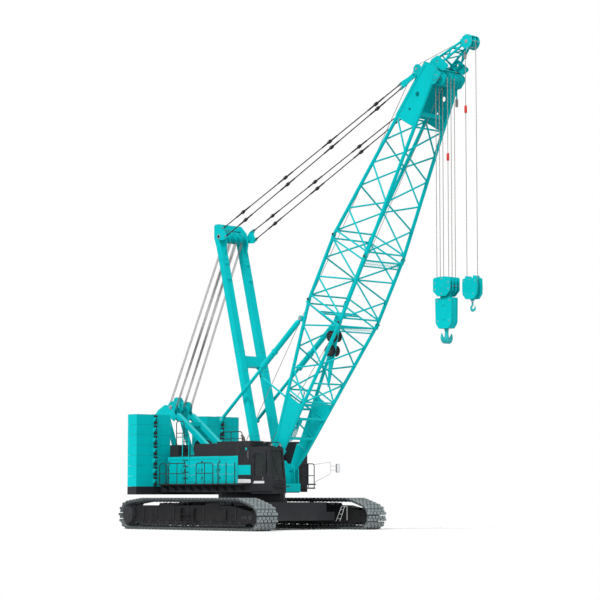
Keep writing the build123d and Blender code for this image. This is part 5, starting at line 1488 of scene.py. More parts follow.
def make_ropes():
    """Wire ropes: main and auxiliary falls, boom hoist ropes and the leads along the boom."""
    radius = bpy.context.scene.crane_sizes.rope_radius
    form = Form()
    fall_x = SHEAVE_RADIUS + radius + CLEAR
    for side in BLOCK_SHEAVES:
        for x in (-fall_x, fall_x):
            y = BLOCK_Y + side
            add_rope(form, Vector((HOOK_X + x, y, HOOK_Z)), Vector((HOOK_X + x, y, BLOCK_AXLE)), 1)
    add_rope_weight(form, Vector((HOOK_X + fall_x, BLOCK_Y - 0.2, HOOK_Z - 3.4)))
    finish_piece("main_rope_falls", form, "main_block", ["main_falls"])
    form = Form()
    fall_x = AUX_SHEAVE_RADIUS + radius + CLEAR
    for x in (-fall_x, fall_x):
        add_rope(form, Vector((AUX_X + x, 0, AUX_Z)), Vector((AUX_X + x, 0, AUX_AXLE)), 1)
    add_rope_weight(form, Vector((AUX_X - fall_x, 0, AUX_Z - 2.85)))
    finish_piece("aux_rope_falls", form, "aux_block", ["aux_falls"])
    form = Form()
    gantry = Vector((GANTRY_AXLE[0], 0, GANTRY_AXLE[1]))
    head = Vector((MAST_PIVOT[0], 0, MAST_PIVOT[1]))
    normal = leaning(gantry, head)
    for low_y, high_y in ((-0.43, -0.33), (0.0, 0.0), (0.43, 0.33)):
        for offset in HOIST_SHEAVES:
            for sign in SIDES:
                start = gantry + Vector((0, low_y + offset, 0)) + normal * sign * 0.235
                end = head + Vector((0, high_y + offset, 0)) + normal * sign * 0.225
                add_rope(form, start, end, 0.6, 24, 6)
    finish_piece("boom_hoist_ropes", form, "upper", other_body="mast")
    guide = place(BOOM, *GUIDE_SHEAVE, GUIDE_SIDE)
    drum = Vector((AUX_DRUM[0], -0.15, AUX_DRUM[1]))
    lift = leaning(drum, guide).normalized()
    low, high = drum + lift * (HOIST_CORE + radius), guide + lift * 0.15
    form = Form()
    add_rope(form, low, high, 0.9, 30)
    finish_piece("aux_hoist_rope", form, "upper", other_body="boom")
    far = Vector((AUX_X, 0.0, AUX_Z))
    lift = leaning(guide, far).normalized()
    form = Form()
    add_rope(form, guide + lift * 0.15, far + lift * 0.23, 0.9)
    finish_piece("aux_lead_rope", form, "boom")
    along = ROLLER_PLACES[1]
    roller = place(BOOM, along, guide_rise(along) + 0.06 + ROLLER_RADIUS + radius, 0.13)
    drum = Vector((MAIN_DRUM[0], 0.1, MAIN_DRUM[1]))
    low = drum + Vector((-0.3, 0.0, 0.95)).normalized() * (HOIST_CORE + radius)
    form = Form()
    add_rope(form, low, roller, 0.9, 16)
    finish_piece("main_hoist_rope", form, "upper", other_body="boom")
    form = Form()
    add_rope(form, roller, place(BOOM, HEAD_SHEAVE[0], HEAD_SHEAVE[1] + 0.27, 0.12), 0.9)
    finish_piece("main_lead_rope", form, "boom")


def add_main_cheeks(form):
    """Cheeks, sheaves, axle and tie bolts of the main block; returns its bolt spots."""
    half = [
        (-0.22, -0.4), (-0.24, -0.385), (-0.46, -0.19), (-0.47, -0.15), (-0.47, 0.3), (-0.43, 0.35),
        (-0.2, 0.385),
    ]
    outline = [(HOOK_X + x, BLOCK_AXLE + z) for x, z in mirrored(half)]
    spots = []
    for start in (-0.29, -0.12, 0.08, 0.25):
        form.slab(outline, BLOCK_Y + start, BLOCK_Y + start + 0.04, "teal")
    for s in SIDES:
        face = BLOCK_Y + s * 0.29
        form.turned((HOOK_X, face, BLOCK_AXLE), (0, s, 0), [
            (-0.02, 0.1), (0.008, 0.1), (0.012, 0.07), (0.012, 0.02),
        ], "teal", 24)
        for x, z in ((-0.36, 0.14), (0.36, 0.14), (-0.36, -0.12), (0.36, -0.12), (0.0, 0.3), (0.0, -0.3)):
            spots.append((Vector((HOOK_X + x, face, BLOCK_AXLE + z)), Vector((0, s, 0))))
    for side in BLOCK_SHEAVES:
        grooved_sheave(form, (HOOK_X, BLOCK_AXLE), BLOCK_Y + side, SHEAVE_RADIUS, 0.08, 0.07)
    for x, z, radius, sides in (
        (0.0, 0.0, 0.08, 24), (-0.4, 0.0, 0.03, 12), (0.4, 0.0, 0.03, 12), (0.0, 0.345, 0.03, 12),
        (0.0, -0.36, 0.03, 12),
    ):
        form.tube([(HOOK_X + x, BLOCK_Y + y, BLOCK_AXLE + z) for y in (-0.25, 0.25)], radius, "steel", sides)
    return spots


def make_blocks():
    """Main and auxiliary hook blocks with their cheeks, sheaves, weights and bolts."""
    form = Form()
    spots = add_main_cheeks(form)
    form.block((HOOK_X - 0.22, HOOK_X + 0.22), (BLOCK_Y - 0.13, BLOCK_Y + 0.13),
               (BLOCK_TOP - 0.06, BLOCK_AXLE - 0.28), "teal")
    low, high = BLOCK_BOTTOM, BLOCK_TOP
    half = [(-0.26, low), (-0.4, low + 0.18), (-0.432, low + 0.27), (-0.45, high - 0.05), (-0.43, high)]
    body = [(HOOK_X + x, z) for x, z in mirrored(half)]
    for start, end in ((-0.19, -0.125), (-0.11, 0.11), (0.125, 0.19)):
        form.slab(body, BLOCK_Y + start, BLOCK_Y + end, "teal")
    inset = [(HOOK_X + (x - HOOK_X) * 0.95, low + 0.02 + (z - low) * 0.965) for x, z in body]
    form.slab(inset, BLOCK_Y - 0.13, BLOCK_Y + 0.13, "teal")
    for s in SIDES:
        face = BLOCK_Y + s * 0.19
        for z in (low + 0.42, high - 0.25):
            form.turned((HOOK_X, face, z), (0, s, 0), [
                (0.0, 0.09), (0.015, 0.09), (0.02, 0.075), (0.025, 0.03),
            ], "teal", 24)
        for x, z in ((-0.34, high - 0.12), (0.34, high - 0.12), (-0.32, low + 0.3), (0.32, low + 0.3)):
            spots.append((Vector((HOOK_X + x, face, z)), Vector((0, s, 0))))
    bolts(form, spots, "steel", 0.024)
    finish_piece("main_hook_block", form, "main_block", ["main_block"], bevel=BLOCK_BEVEL)

    form = Form()
    half = [(0.21, -0.5), (0.37, -0.3), (0.385, 0.0), (0.37, 0.3), (0.33, 0.335)]
    octagon = [(AUX_X + x, AUX_AXLE + z) for x, z in mirrored(half)]
    for start in (-0.19, 0.09):
        form.slab(octagon, start, start + 0.1, "teal")
    spots = []
    for s in SIDES:
        form.turned((AUX_X, s * 0.19, AUX_AXLE), (0, s, 0), [
            (-0.02, 0.11), (0.006, 0.11), (0.01, 0.06),
        ], "teal", 24)
        spots += side_spots(s, 0.19, [(AUX_X + x, AUX_AXLE + z) for x, z in (
            (-0.2, -0.3), (0.2, -0.3), (-0.29, 0.22), (0.29, 0.22), (0.0, 0.28),
        )])
    bolts(form, spots, "steel", 0.018)
    for x in (AUX_X - 0.27, AUX_X + 0.15):
        ear = ((0.0, 0.25), (0.12, 0.25), (0.12, 0.38), (0.09, 0.43), (0.03, 0.43), (0.0, 0.38))
        form.slab([(x + a, AUX_AXLE + b) for a, b in ear], -0.15, 0.15, "teal")
    grooved_sheave(form, (AUX_X, AUX_AXLE), 0.0, AUX_SHEAVE_RADIUS, 0.05, 0.16)
    form.tube([(AUX_X, -0.09, AUX_AXLE), (AUX_X, 0.09, AUX_AXLE)], 0.05, "steel", 20)
    form.turned((AUX_X, 0, AUX_BOTTOM), UP, [
        (0.0, 0.07), (0.02, 0.09), (0.2, 0.09), (0.22, 0.075), (0.34, 0.075), (0.36, 0.085),
    ], "teal", 24)
    finish_piece("aux_hook_block", form, "aux_block", ["aux_block"], bevel=BLOCK_BEVEL)


def swept_hook(form, path, across, flatten, sides=18):
    """A forged hook: path rows are (point, radius) in the plane that across is square to."""
    rings = []
    for i, (point, size) in enumerate(path):
        run = (path[min(len(path) - 1, i + 1)][0] - path[max(0, i - 1)][0]).normalized()
        normal = run.cross(across).normalized()
        angles = [2 * pi * k / sides for k in range(sides)]
        rings.append([point + normal * cos(t) * size + across * sin(t) * size * flatten for t in angles])
    form.loft(rings, "hook_steel")


def smooth_path(rows, steps=5):
    """A smooth run through (point, radius) rows."""
    made = []
    for i in range(len(rows) - 1):
        near = (rows[max(0, i - 1)], rows[i], rows[i + 1], rows[min(len(rows) - 1, i + 2)])
        for k in range(steps):
            t = k / steps
            weights = (
                (-t ** 3 + 2 * t ** 2 - t) / 2, (3 * t ** 3 - 5 * t ** 2 + 2) / 2,
                (-3 * t ** 3 + 4 * t ** 2 + t) / 2, (t ** 3 - t ** 2) / 2,
            )
            point = sum((row[0] * w for row, w in zip(near, weights)), Vector((0, 0, 0)))
            made.append((point, max(sum(row[1] * w for row, w in zip(near, weights)), 0.004)))
    made.append(rows[-1])
    return made


def make_hooks():
    """The double hook and the single hook, as forged forms."""
    top = BLOCK_BOTTOM - CLEAR
    form = Form()
    for s in SIDES:
        path = [(Vector((HOOK_X, BLOCK_Y + s * y, top + z)), size) for y, z, size in (
            (0.0, -0.46, 0.145), (0.09, -0.485, 0.13), (0.18, -0.475, 0.118), (0.25, -0.4, 0.095),
            (0.275, -0.32, 0.07), (0.285, -0.25, 0.045), (0.292, -0.19, 0.014),
        )]
        swept_hook(form, smooth_path(path), FRONT, 0.62)
    form.turned((HOOK_X, BLOCK_Y, top), (0, 0, -1), [
        (0.0, 0.088), (0.03, 0.09), (0.09, 0.09), (0.1, 0.075), (0.16, 0.075), (0.3, 0.085), (0.42, 0.11),
        (0.55, 0.09),
    ], "hook_steel", 28)
    form.turned((HOOK_X - 0.069, BLOCK_Y, top - 0.42), FRONT, [
        (0.0, 0.0452), (0.0, 0.1), (0.138, 0.1), (0.138, 0.0452),
    ], "hook_steel", 28, ring=True)
    finish_piece("main_double_hook", form, "main_hook", ["main_hook"])
    lower = AUX_BOTTOM - CLEAR
    form = Form()
    path = [(Vector((AUX_X + x, 0, lower + z)), size) for x, z, size in (
        (0.0, -0.02, 0.044), (0.0, -0.1, 0.044), (0.0, -0.15, 0.038), (-0.03, -0.2, 0.04),
        (-0.065, -0.26, 0.047),
        (-0.07, -0.32, 0.052), (-0.035, -0.375, 0.056), (0.03, -0.385, 0.056), (0.1, -0.36, 0.05),
        (0.135, -0.31, 0.038), (0.145, -0.26, 0.024), (0.15, -0.225, 0.008),
    )]
    swept_hook(form, smooth_path(path), LEFT, 0.72)
    form.turned((AUX_X, 0, lower), (0, 0, -1), [
        (0.0, 0.045), (0.02, 0.05), (0.05, 0.05), (0.06, 0.044),
    ], "steel", 20)
    form.tube([(AUX_X + 0.01, 0, lower - 0.14), (AUX_X + 0.125, 0, lower - 0.235)], 0.008, "steel", 8)
    finish_piece("aux_single_hook", form, "aux_hook", ["aux_hook"])


def make_backstops():
    """Backstop barrels with collars and spring housings, and their rods."""
    eye = place(BOOM, EYE_ALONG, back_rise(EYE_ALONG) + EYE_LIFT)
    angle = radians(218.75)
    line = Vector((cos(angle), 0, sin(angle)))
    form = Form()
    for s in SIDES:
        base = eye + Vector((0, s * BACKSTOP_SIDE, 0))
        form.turned(base - LEFT * 0.06, (0, 1, 0), [
            (0.0, 0.0503), (0.0, 0.12), (0.01, 0.13), (0.11, 0.13), (0.12, 0.12), (0.12, 0.0503),
        ], "teal", 28, ring=True)
        form.turned(base + line * 0.12, line, [
            (0.0, 0.05), (0.06, 0.09), (0.14, 0.12), (1.98, 0.12), (1.985, 0.15), (2.06, 0.15),
            (2.065, 0.125),
            (2.88, 0.125), (2.885, 0.15), (2.97, 0.15), (2.98, 0.12),
        ], "teal", 28)
        form.turned(base + line * 3.085, line, [
            (0.0, 0.0755), (0.0, 0.13), (0.014, 0.13), (0.014, 0.0755),
        ], "steel", 28, ring=True)
        bolts(form, bolt_circle(base + line * 2.96 + line * 0.13, line, 0.135, 8), "steel", 0.012)
    finish_piece("backstop_barrel_pair", form, "backstop_barrels", ["backstop_barrels"])
    form = Form()
    for s in SIDES:
        base = eye + Vector((0, s * BACKSTOP_SIDE, 0))
        form.turned(base + line * 2.7, line, [
            (0.0, 0.07), (0.01, 0.074), (3.75, 0.074), (3.8, 0.06),
        ], "teal", 24)
        end = base + line * 6.63
        form.turned(end - LEFT * 0.06, (0, 1, 0), [
            (0.0, 0.1), (0.01, 0.12), (0.11, 0.12), (0.12, 0.1),
        ], "teal", 28)
        form.turned(end - LEFT * 0.07, (0, 1, 0), [(0.0, 0.045), (0.14, 0.045)], "steel", 20)
    finish_piece("backstop_rod_pair", form, "backstop_rods", ["backstop_rods"])


def make_drums():
    """The three winch drums with their rope laid turn by turn."""
    pitch = 0.0285
    turns = 13
    for name, (x, z), core, flange in (
        ("boom_hoist_drum", BOOM_HOIST_DRUM, 0.25, 0.4),
        ("aux_drum", AUX_DRUM, HOIST_CORE, 0.42),
        ("main_drum", MAIN_DRUM, HOIST_CORE, 0.42),
    ):
        form = Form()
        form.turned((x, -0.24, z), (0, 1, 0), [
            (0.0, 0.09), (0.002, flange * 0.8), (0.0, flange * 0.9), (0.0, flange), (0.04, flange),
            (0.042, core * 0.9),
            (0.438, core * 0.9), (0.44, flange), (0.48, flange), (0.48, flange * 0.9),
            (0.478, flange * 0.8), (0.48, 0.09),
        ], "black", 48)
        profile = [(0.0, core * 0.85)]
        for i in range(turns):
            for t in (pi * k / 4 for k in range(5)):
                profile.append((i * pitch + pitch / 2 - cos(t) * pitch / 2, core - 0.014 + sin(t) * 0.014))
        profile.append((turns * pitch, core * 0.85))
        form.turned((x, -turns * pitch / 2, z), (0, 1, 0), profile, "wire_rope_flat", 48)
        for s in SIDES:
            form.tube([(x, s * 0.2, z), (x, s * (0.26 - CLEAR), z)], 0.08, "steel", 24)
            bolts(form, bolt_circle((x, s * 0.24, z), (0, s, 0), flange * 0.55, 10), "steel", 0.018)
        finish_piece(f"{name}_wound", form, name, [name])


# Walkways, platform and cab
def add_foot(form, x, y, z):
    """The foot plate and socket of a rail post."""
    form.turned((x, y, z), UP, [(0.0, 0.045), (0.012, 0.045), (0.014, 0.026), (0.06, 0.026)], "black", 14)


def frame_rail(form, rear_x, front_x, y, foot, height, middle=True):
    """A handrail frame bent from one tube, with its waist rail, post and foot plates."""
    top = foot + height
    waist = foot + height / 2
    outline = [(rear_x, y, foot), (rear_x, y, top), (front_x, y, top), (front_x, y, foot)]
    form.tube(rounded(outline, 0.16), 0.021, "black", 12)
    form.tube([(rear_x, y, waist), (front_x, y, waist)], 0.018, "black", 10)
    if middle:
        centre = (rear_x + front_x) / 2
        form.tube([(centre, y, foot), (centre, y, top)], 0.018, "black", 10)
    for x in (rear_x, front_x):
        add_foot(form, x, y, foot)


def grating(form, x, y, z):
    """An open grating: an edge frame with bearing bars and thin cross bars."""
    edge = 0.012
    depth = (z - 0.06, z)
    form.block(x, (y[0], y[0] + edge), depth, "black")
    form.block(x, (y[1] - edge, y[1]), depth, "black")
    form.block((x[0], x[0] + edge), y, depth, "black")
    form.block((x[1] - edge, x[1]), y, depth, "black")
    bar = Form()
    half = (y[1] - y[0]) / 2 - edge
    bar.block((-0.003, 0.003), (-half, half), (-0.03, 0.0), "black")
    count = int((x[1] - x[0]) / 0.075)
    spots = [
        (Vector((x[0] + (x[1] - x[0]) * (i + 0.5) / count, (y[0] + y[1]) / 2, z - 0.002)), UP, FRONT)
        for i in range(count)
    ]
    form.take(set_forms(spots, bar, "black"), "black")
    sides = [y[0] + (y[1] - y[0]) * k / 5 for k in range(1, 5)]
    form.bars([
        (Vector((x[0], side, z - 0.02)), Vector((x[1], side, z - 0.02)), 0.006) for side in sides
    ], "black", 6)


PRISM_FACES = [[0, 1, 2, 3], [7, 6, 5, 4], [0, 4, 5, 1], [1, 5, 6, 2], [2, 6, 7, 3], [3, 7, 4, 0]]


def add_prism(form, near, far, corners, look):
    """A block between two x places with the same four (y, z) corners."""
    form.add([(x, y, z) for x in (near, far) for y, z in corners], PRISM_FACES, look)


def make_walkways():
    """Walkways on both sides with their brackets, gratings, rails, chains and posts."""
    form = Form()
    rear, front = -3.85, 1.83
    rail_height = 0.9
    pitch = 0.57
    for s in SIDES:
        grating(form, (rear, front), sorted((s * DECK_SIDE, s * (DECK_SIDE + 0.52))), DECK_TOP)
        bracket = [(s * DECK_SIDE, 1.94), (s * 2.11, 1.94), (s * 2.11, 1.9), (s * DECK_SIDE, 1.67)]
        for i in range(int((front - rear) / pitch) + 1):
            x = rear + 0.04 + i * pitch
            add_prism(form, x, x + 0.02, bracket, "black")
        y = s * 2.149
        for rear_x, front_x, middle in ((-3.19, -2.01, True), (-1.27, -0.13, True), (-3.82, -3.36, False)):
            frame_rail(form, rear_x, front_x, y, DECK_TOP, rail_height, middle)
        for low, high in ((-3.36, -3.19), (-2.01, -1.27), (-0.13, 0.21), (0.21, 0.75), (0.75, 1.32)):
            for z in (DECK_TOP + 0.86, DECK_TOP + 0.45):
                sag = 0.12 * (high - low)
                form.tube([
                    (low + (high - low) * k / 8, y, z - sag * (1 - ((k - 4) / 4) ** 2)) for k in range(9)
                ], 0.005, "steel", 6)
        for x in (0.21, 0.75, 1.32):
            form.tube([(x, y, DECK_TOP), (x, y, DECK_TOP + rail_height)], 0.021, "black", 12)
            add_foot(form, x, y, DECK_TOP)
            form.turned((x, y, DECK_TOP + 0.89), UP, [(0.0, 0.03), (0.01, 0.03), (0.012, 0.02)], "black", 12)
    finish_piece("walkway_set", form, "upper", ["walkways"])


def make_roof_rails():
    """Rails on the roofs, the cab's rail and the ladder."""
    form = Form()
    frame_rail(form, -3.68, -3.15, -1.3, ROOF, 1.08, middle=False)
    form.tube([(-3.68, -1.3, 4.1), (-3.15, -1.3, 4.1)], 0.016, "black", 10)
    frame_rail(form, -3.68, -2.15, 1.3, ROOF, 0.64)
    y = -1.6
    form.tube(rounded([(1.89, y, CAB_ROOF), (1.89, y, 3.79), (3.56, y, 3.73)], 0.08), 0.021, "black", 12)
    form.tube([(2.96, y, CAB_ROOF), (2.96, y, 3.752)], 0.018, "black", 10)
    finish_piece("roof_rail_set", form, "upper", ["roof_rails"])
    form = Form()
    y = -DECK_SIDE - 0.0213
    ends = (-2.8, -2.35)
    for x in ends:
        form.tube([(x, y, DECK_TOP), (x, y, 4.24)], 0.021, "teal", 12)
        form.turned((x, y, 4.23), UP, [(0.0, 0.021), (0.008, 0.018), (0.01, 0.01)], "teal", 12)
    form.bars([(*(Vector((x, y, 2.25 + i * 0.27)) for x in ends), 0.014) for i in range(8)], "black", 10)
    finish_piece("housing_ladder_bars", form, "upper", ["housing_ladder"])


def make_platform():
    """Front platform with its rails and the mirror on its slim frame."""
    form = Form()
    floor = 1.83
    grating(form, (1.83, 2.08), (0.865, 1.9), floor)
    form.block((1.835, 2.075), (0.87, 1.895), (1.78, 1.792), "black")
    x = 2.05
    top = 2.87
    rail = [(x, 1.13, floor), (x, 1.13, top), (x, 1.86, top), (x, 1.86, floor)]
    form.tube(rounded(rail, 0.12), 0.021, "black", 12)
    form.tube([(x, 1.5, floor), (x, 1.5, top)], 0.018, "black", 10)
    form.tube([(x, 1.13, 2.35), (x, 1.86, 2.35)], 0.018, "black", 10)
    arm = [(x, y, z) for y, z in ((1.86, 2.84), (2.87, 2.96), (2.87, 2.45), (1.86, 2.05))]
    form.tube(rounded(arm, 0.1), 0.014, "mirror_arm", 10)
    for z in (2.6, 2.78):
        form.tube([(x, 2.87, z), (x, 3.21, z)], 0.012, "mirror_arm", 10)
    middle_y, middle_z = 3.295, 2.69
    shell = [
        (3.19, 2.53), (3.22, 2.5), (3.37, 2.5), (3.4, 2.53), (3.4, 2.85), (3.37, 2.88), (3.22, 2.88),
        (3.19, 2.85),
    ]
    form.loft([
        [(x, middle_y + (a - middle_y) * size, middle_z + (b - middle_z) * size) for a, b in shell]
        for x, size in ((2.08, 0.97), (2.06, 1.0), (2.04, 1.0), (2.022, 0.86))
    ], "black")
    add_prism(form, 2.0802, 2.079, box_outline((3.205, 2.515), (3.385, 2.865)), "mirror")
    finish_piece("front_platform_set", form, "upper", ["front_platform"])


def cushion_mesh(name, size, centre, upright):
    """A crowned cushion with sewn seams across its soft side."""
    grid = bmesh.new()
    bmesh.ops.create_cube(grid, size=1.0)
    bmesh.ops.subdivide_edges(grid, edges=grid.edges, cuts=7, use_grid_fill=True)
    seams, width = ((-0.5, 0.05, 0.55), 0.12) if upright else ((-0.45, 0.45), 0.16)
    for vertex in grid.verts:
        u, v, w = (c * 2 for c in vertex.co)
        pull_u = 1 - 0.1 * v * v - 0.08 * w * w
        pull_v = 1 - 0.1 * u * u - 0.08 * w * w
        pull_w = 1 - 0.28 * (0 if upright else u * u) - 0.28 * v * v * (0.5 if upright else 1)
        x, y, z = u * size[0] / 2 * pull_u, v * size[1] / 2 * pull_v, w * size[2] / 2 * pull_w
        across = w if upright else v
        seam = max(0.0, *(1 - min(1.0, abs(across - line) / width) for line in seams))
        if upright and u > 0.9:
            x -= seam * 0.014
        if not upright and w > 0.9:
            z -= seam * 0.014
        vertex.co = Vector((centre[0] + x, centre[1] + y, centre[2] + z))
    made = bpy.data.meshes.new(name)
    grid.to_mesh(made)
    grid.free()
    return made


def make_seat():
    """Operator's seat: crowned cushions with seams, on a slim pedestal."""
    for name, size, centre, upright in (
        ("seat_cushion", (0.5, 0.46, 0.13), (2.38, CAB_MIDDLE, 2.125), False),
        ("seat_back", (0.1, 0.44, 0.68), (2.1, CAB_MIDDLE, 2.5), True),
    ):
        form = Form()
        form.take(cushion_mesh(name, size, centre, upright), "seat_cloth")
        piece = bpy.data.objects.new(name, form.mesh(name, 80))
        bpy.context.scene.collection.objects.link(piece)
        soft = piece.modifiers.new("soften", "SUBSURF")
        soft.levels = 1
        soft.render_levels = 1
        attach(piece, "upper")
        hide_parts("cab_seat")
    form = Form()
    form.turned((2.38, CAB_MIDDLE, CAB_FLOOR), UP, [
        (0.0, 0.17), (0.02, 0.17), (0.03, 0.1), (0.2, 0.09), (0.22, 0.14), (0.3, 0.16), (0.32, 0.16),
    ], "black", 20)
    side = CAB_MIDDLE - 0.2
    form.tube(rounded([(2.2, side, 2.1), (2.1, side, 2.15), (2.09, side, 2.35)], 0.08), 0.014, "black", 8)
    finish_piece("seat_base", form, "upper")


def gasket(form, loop, radius):
    """A rubber bead round a window."""
    form.tube(loop, radius, "rubber", 8, closed=True)


def add_handle(form, x, y, low, high, reach, radius, corner, look, sides):
    """A bow handle that stands out from an upright face, between two heights."""
    bow = [(x, y, low), (x, y + reach, low), (x, y + reach, high), (x, y, high)]
    form.tube(rounded(bow, corner), radius, look, sides)


def front_x_at(z):
    """Where the cab's sloped front face stands at this height."""
    return 3.21 + (3.02 - 3.21) / (CAB_ROOF - 2.07) * (z - 2.07)


def side_window(rear_x, low, high):
    """Corners (x, z) of a side window that ends at the sloped front."""
    return [(rear_x, low), (front_x_at(low) - 0.1, low), (front_x_at(high) - 0.1, high), (rear_x, high)]


def add_cab_outside(form):
    """Gaskets, wiper, grab rails, lamps and roof hatch of the cab."""
    gasket(form, [(x, CAB_OUTER + 0.005, z) for x, z in side_window(2.82, 2.3, 3.4)], 0.014)
    screen = box_outline((CAB_OUTER + 0.08, 2.15), (CAB_INNER - 0.08, 3.42))
    gasket(form, [(front_x_at(z) + 0.002, y, z) for y, z in screen], 0.014)
    gasket(form, [(x, CAB_INNER + 0.001, z) for x, z in side_window(2.0, 2.5, 3.4)], 0.012)
    pivot = Vector((front_x_at(2.12) + 0.02, -1.2, 2.12))
    tip = Vector((front_x_at(2.95) + 0.012, -1.45, 2.95))
    form.turned(pivot - Vector((0.02, 0, 0)), FRONT, [(0.0, 0.03), (0.03, 0.03), (0.04, 0.015)], "black", 14)
    form.tube([pivot, tip], 0.009, "black", 8)
    blade = Vector((-0.094, -0.12, 0.74)).normalized()
    form.tube([tip - blade * 0.32, tip + blade * 0.32], 0.008, "rubber", 8)
    add_handle(form, 1.93, CAB_OUTER, 2.2, 2.95, -0.06, 0.014, 0.05, "black", 10)
    add_handle(form, 2.79, CAB_OUTER, 2.45, 2.85, -0.05, 0.012, 0.04, "black", 10)
    for y in (-1.55, -1.05):
        base = Vector((3.0, y, CAB_ROOF + 0.005))
        form.block((2.9, 2.98), (y - 0.06, y + 0.06), (CAB_ROOF, 3.6), "black")
        form.turned(base + Vector((-0.05, 0, 0.07)), FRONT, [
            (0.0, 0.03), (0.03, 0.065), (0.07, 0.07), (0.075, 0.07),
        ], "black", 20)
        form.turned(base + Vector((0.025, 0, 0.07)), FRONT, [
            (0.0, 0.062), (0.006, 0.055), (0.01, 0.02),
        ], "lamp_lens", 20)
    form.slab([(2.1, CAB_ROOF), (2.75, CAB_ROOF), (2.72, 3.6), (2.13, 3.6)], -1.5, -1.08, "black")


def make_cab_details():
    """Window gaskets, wiper, handles, grab rails, lamps, controls and roof hatch of the cab."""
    form = Form()
    add_cab_outside(form)
    form.block((2.75, 3.0), (-1.5, -1.1), (CAB_FLOOR, 2.2), "plastic")
    form.slab([(2.72, 2.2), (3.02, 2.2), (3.02, 2.26), (2.75, 2.36)], -1.5, -1.1, "plastic")
    for y in (CAB_MIDDLE - 0.3, CAB_MIDDLE + 0.28):
        form.block((2.25, 2.6), (y - 0.05, y + 0.05), (CAB_FLOOR, 2.2), "plastic")
        form.tube(rounded([(2.5, y, 2.2), (2.53, y, 2.32), (2.52, y, 2.42)], 0.05), 0.01, "black", 8)
        form.turned((2.52, y, 2.4), UP, [
            (0.0, 0.012), (0.02, 0.022), (0.05, 0.022), (0.07, 0.01),
        ], "rubber", 12)
    for x in (3.23 + 0.026 * i for i in range(10)):
        form.block((x, x + 0.008), (-1.595, -0.925), (1.8801, 1.884), "black")
    finish_piece("cab_details", form, "upper")
    form = Form()
    opening = box_outline((2.08, 2.3), (2.65, 3.31))
    form.slab(opening, -1.676, -1.668, "cab_glass")
    gasket(form, [(x, CAB_OUTER, z) for x, z in opening], 0.013)
    add_handle(form, 2.69, CAB_OUTER, 2.12, 2.26, -0.045, 0.009, 0.03, "steel", 8)
    form.block((2.62, 2.72), (-1.706, CAB_OUTER), (2.1, 2.28), "black")
    finish_piece("cab_door_details", form, "cab_door")


# Details of the upper works
def add_housing_doors(form):
    """Door panels of both housings with their handles, hinges and bolts."""
    hinge = Form()
    hinge.turned((0, 0, -0.05), UP, [(0, 0.012), (0.1, 0.012)], "black", 10)
    hinge.block((0.0, 0.05), (-0.004, 0.006), (-0.04, 0.04), "black")
    hinge_spots = []
    rows = []
    for s in SIDES:
        for low, high in ((-3.8, -2.72), (-2.68, -1.52), (-1.48, -0.32), (-0.28, 0.93)):
            inner = box_outline((low + 0.05, 2.14), (high - 0.05, 3.07))
            form.plate(box_outline((low, 2.09), (high, 3.12)), s, DECK_SIDE, DECK_SIDE + 0.012, "teal",
                       holes=[inner])
            add_handle(form, high - 0.13, s * 1.655, 2.52, 2.66, s * 0.035, 0.008, 0.02, "black", 8)
            hinge_spots += [(Vector((low + 0.015, s * 1.664, z)), UP, FRONT) for z in (2.25, 2.6, 2.95)]
            places = [(x, z) for x in (low + 0.09, high - 0.09) for z in (2.18, 3.03)]
            rows += side_spots(s, DECK_SIDE, places)
    form.take(set_forms(hinge_spots, hinge, "black"), "black")
    bolts(form, rows, "teal", 0.012)


def make_housing_details():
    """Door panels, hinges, handles, louvres, vents, roof covers, exhaust and rails."""
    form = Form()
    add_housing_doors(form)
    slat = Form()
    slat.slab(box_outline((-0.38, -0.004), (0.38, 0.004)), -0.03, 0.012, "black")
    spots = [(Vector((-3.26, 1.652, 2.28 + 0.125 * i)), Vector((0, -0.35, 1)), FRONT) for i in range(6)]
    form.take(set_forms(spots, slat, "black"), "black")
    panels = [(0.98, 2.37, 1.8, 2.79, 0.006, "teal", ())]
    panels += [(-0.3, 3.2 + i * 0.07, 0.75, 3.23 + i * 0.07, 0.012, "black", ()) for i in range(9)]
    panels += [
        (1.02, 2.85, 1.78, 3.72, 0.012, "black", [box_outline((1.06, 2.89), (1.74, 3.68))]),
        (1.12, 3.0, 1.32, 3.6, 0.01, "cab_glass", ()),
        (1.45, 3.44, 1.55, 3.54, 0.006, "teal", ()),
    ]
    for x0, z0, x1, z1, thick, look, holes in panels:
        form.slab(box_outline((x0, z0), (x1, z1)), -DECK_SIDE - thick, -DECK_SIDE, look, holes=holes)
    handle = [(1.66, y, z) for y, z in ((-1.65, 3.1), (-1.69, 3.1), (-1.69, 3.4), (-1.65, 3.4))]
    form.tube(handle, 0.01, "steel", 8)
    for x in (-1.6, -0.9, 0.3, 1.2):
        cover = [(x - 0.25, ROOF), (x + 0.25, ROOF), (x + 0.22, 3.765), (x - 0.22, 3.765)]
        form.slab(cover, -1.5, -1.1, "black")
        form.slab(cover, 1.1, 1.5, "black")
    cover = [(-0.42, 3.82), (1.8, 3.82), (1.78, 3.835), (-0.4, 3.835)]
    form.slab(cover, -1.62, -0.96, "black")
    form.slab(cover, 0.96, 1.62, "black")
    pipe = [(-1.9, 1.2, ROOF), (-1.9, 1.2, 4.05), (-2.05, 1.2, 4.2)]
    form.tube(rounded(pipe, 0.12), 0.06, "exhaust", 20)
    form.turned(pipe[0], UP, [
        (0.0, 0.1), (0.02, 0.1), (0.03, 0.075), (0.2, 0.075), (0.21, 0.06),
    ], "exhaust", 24)
    finish_piece("housing_details", form, "upper")


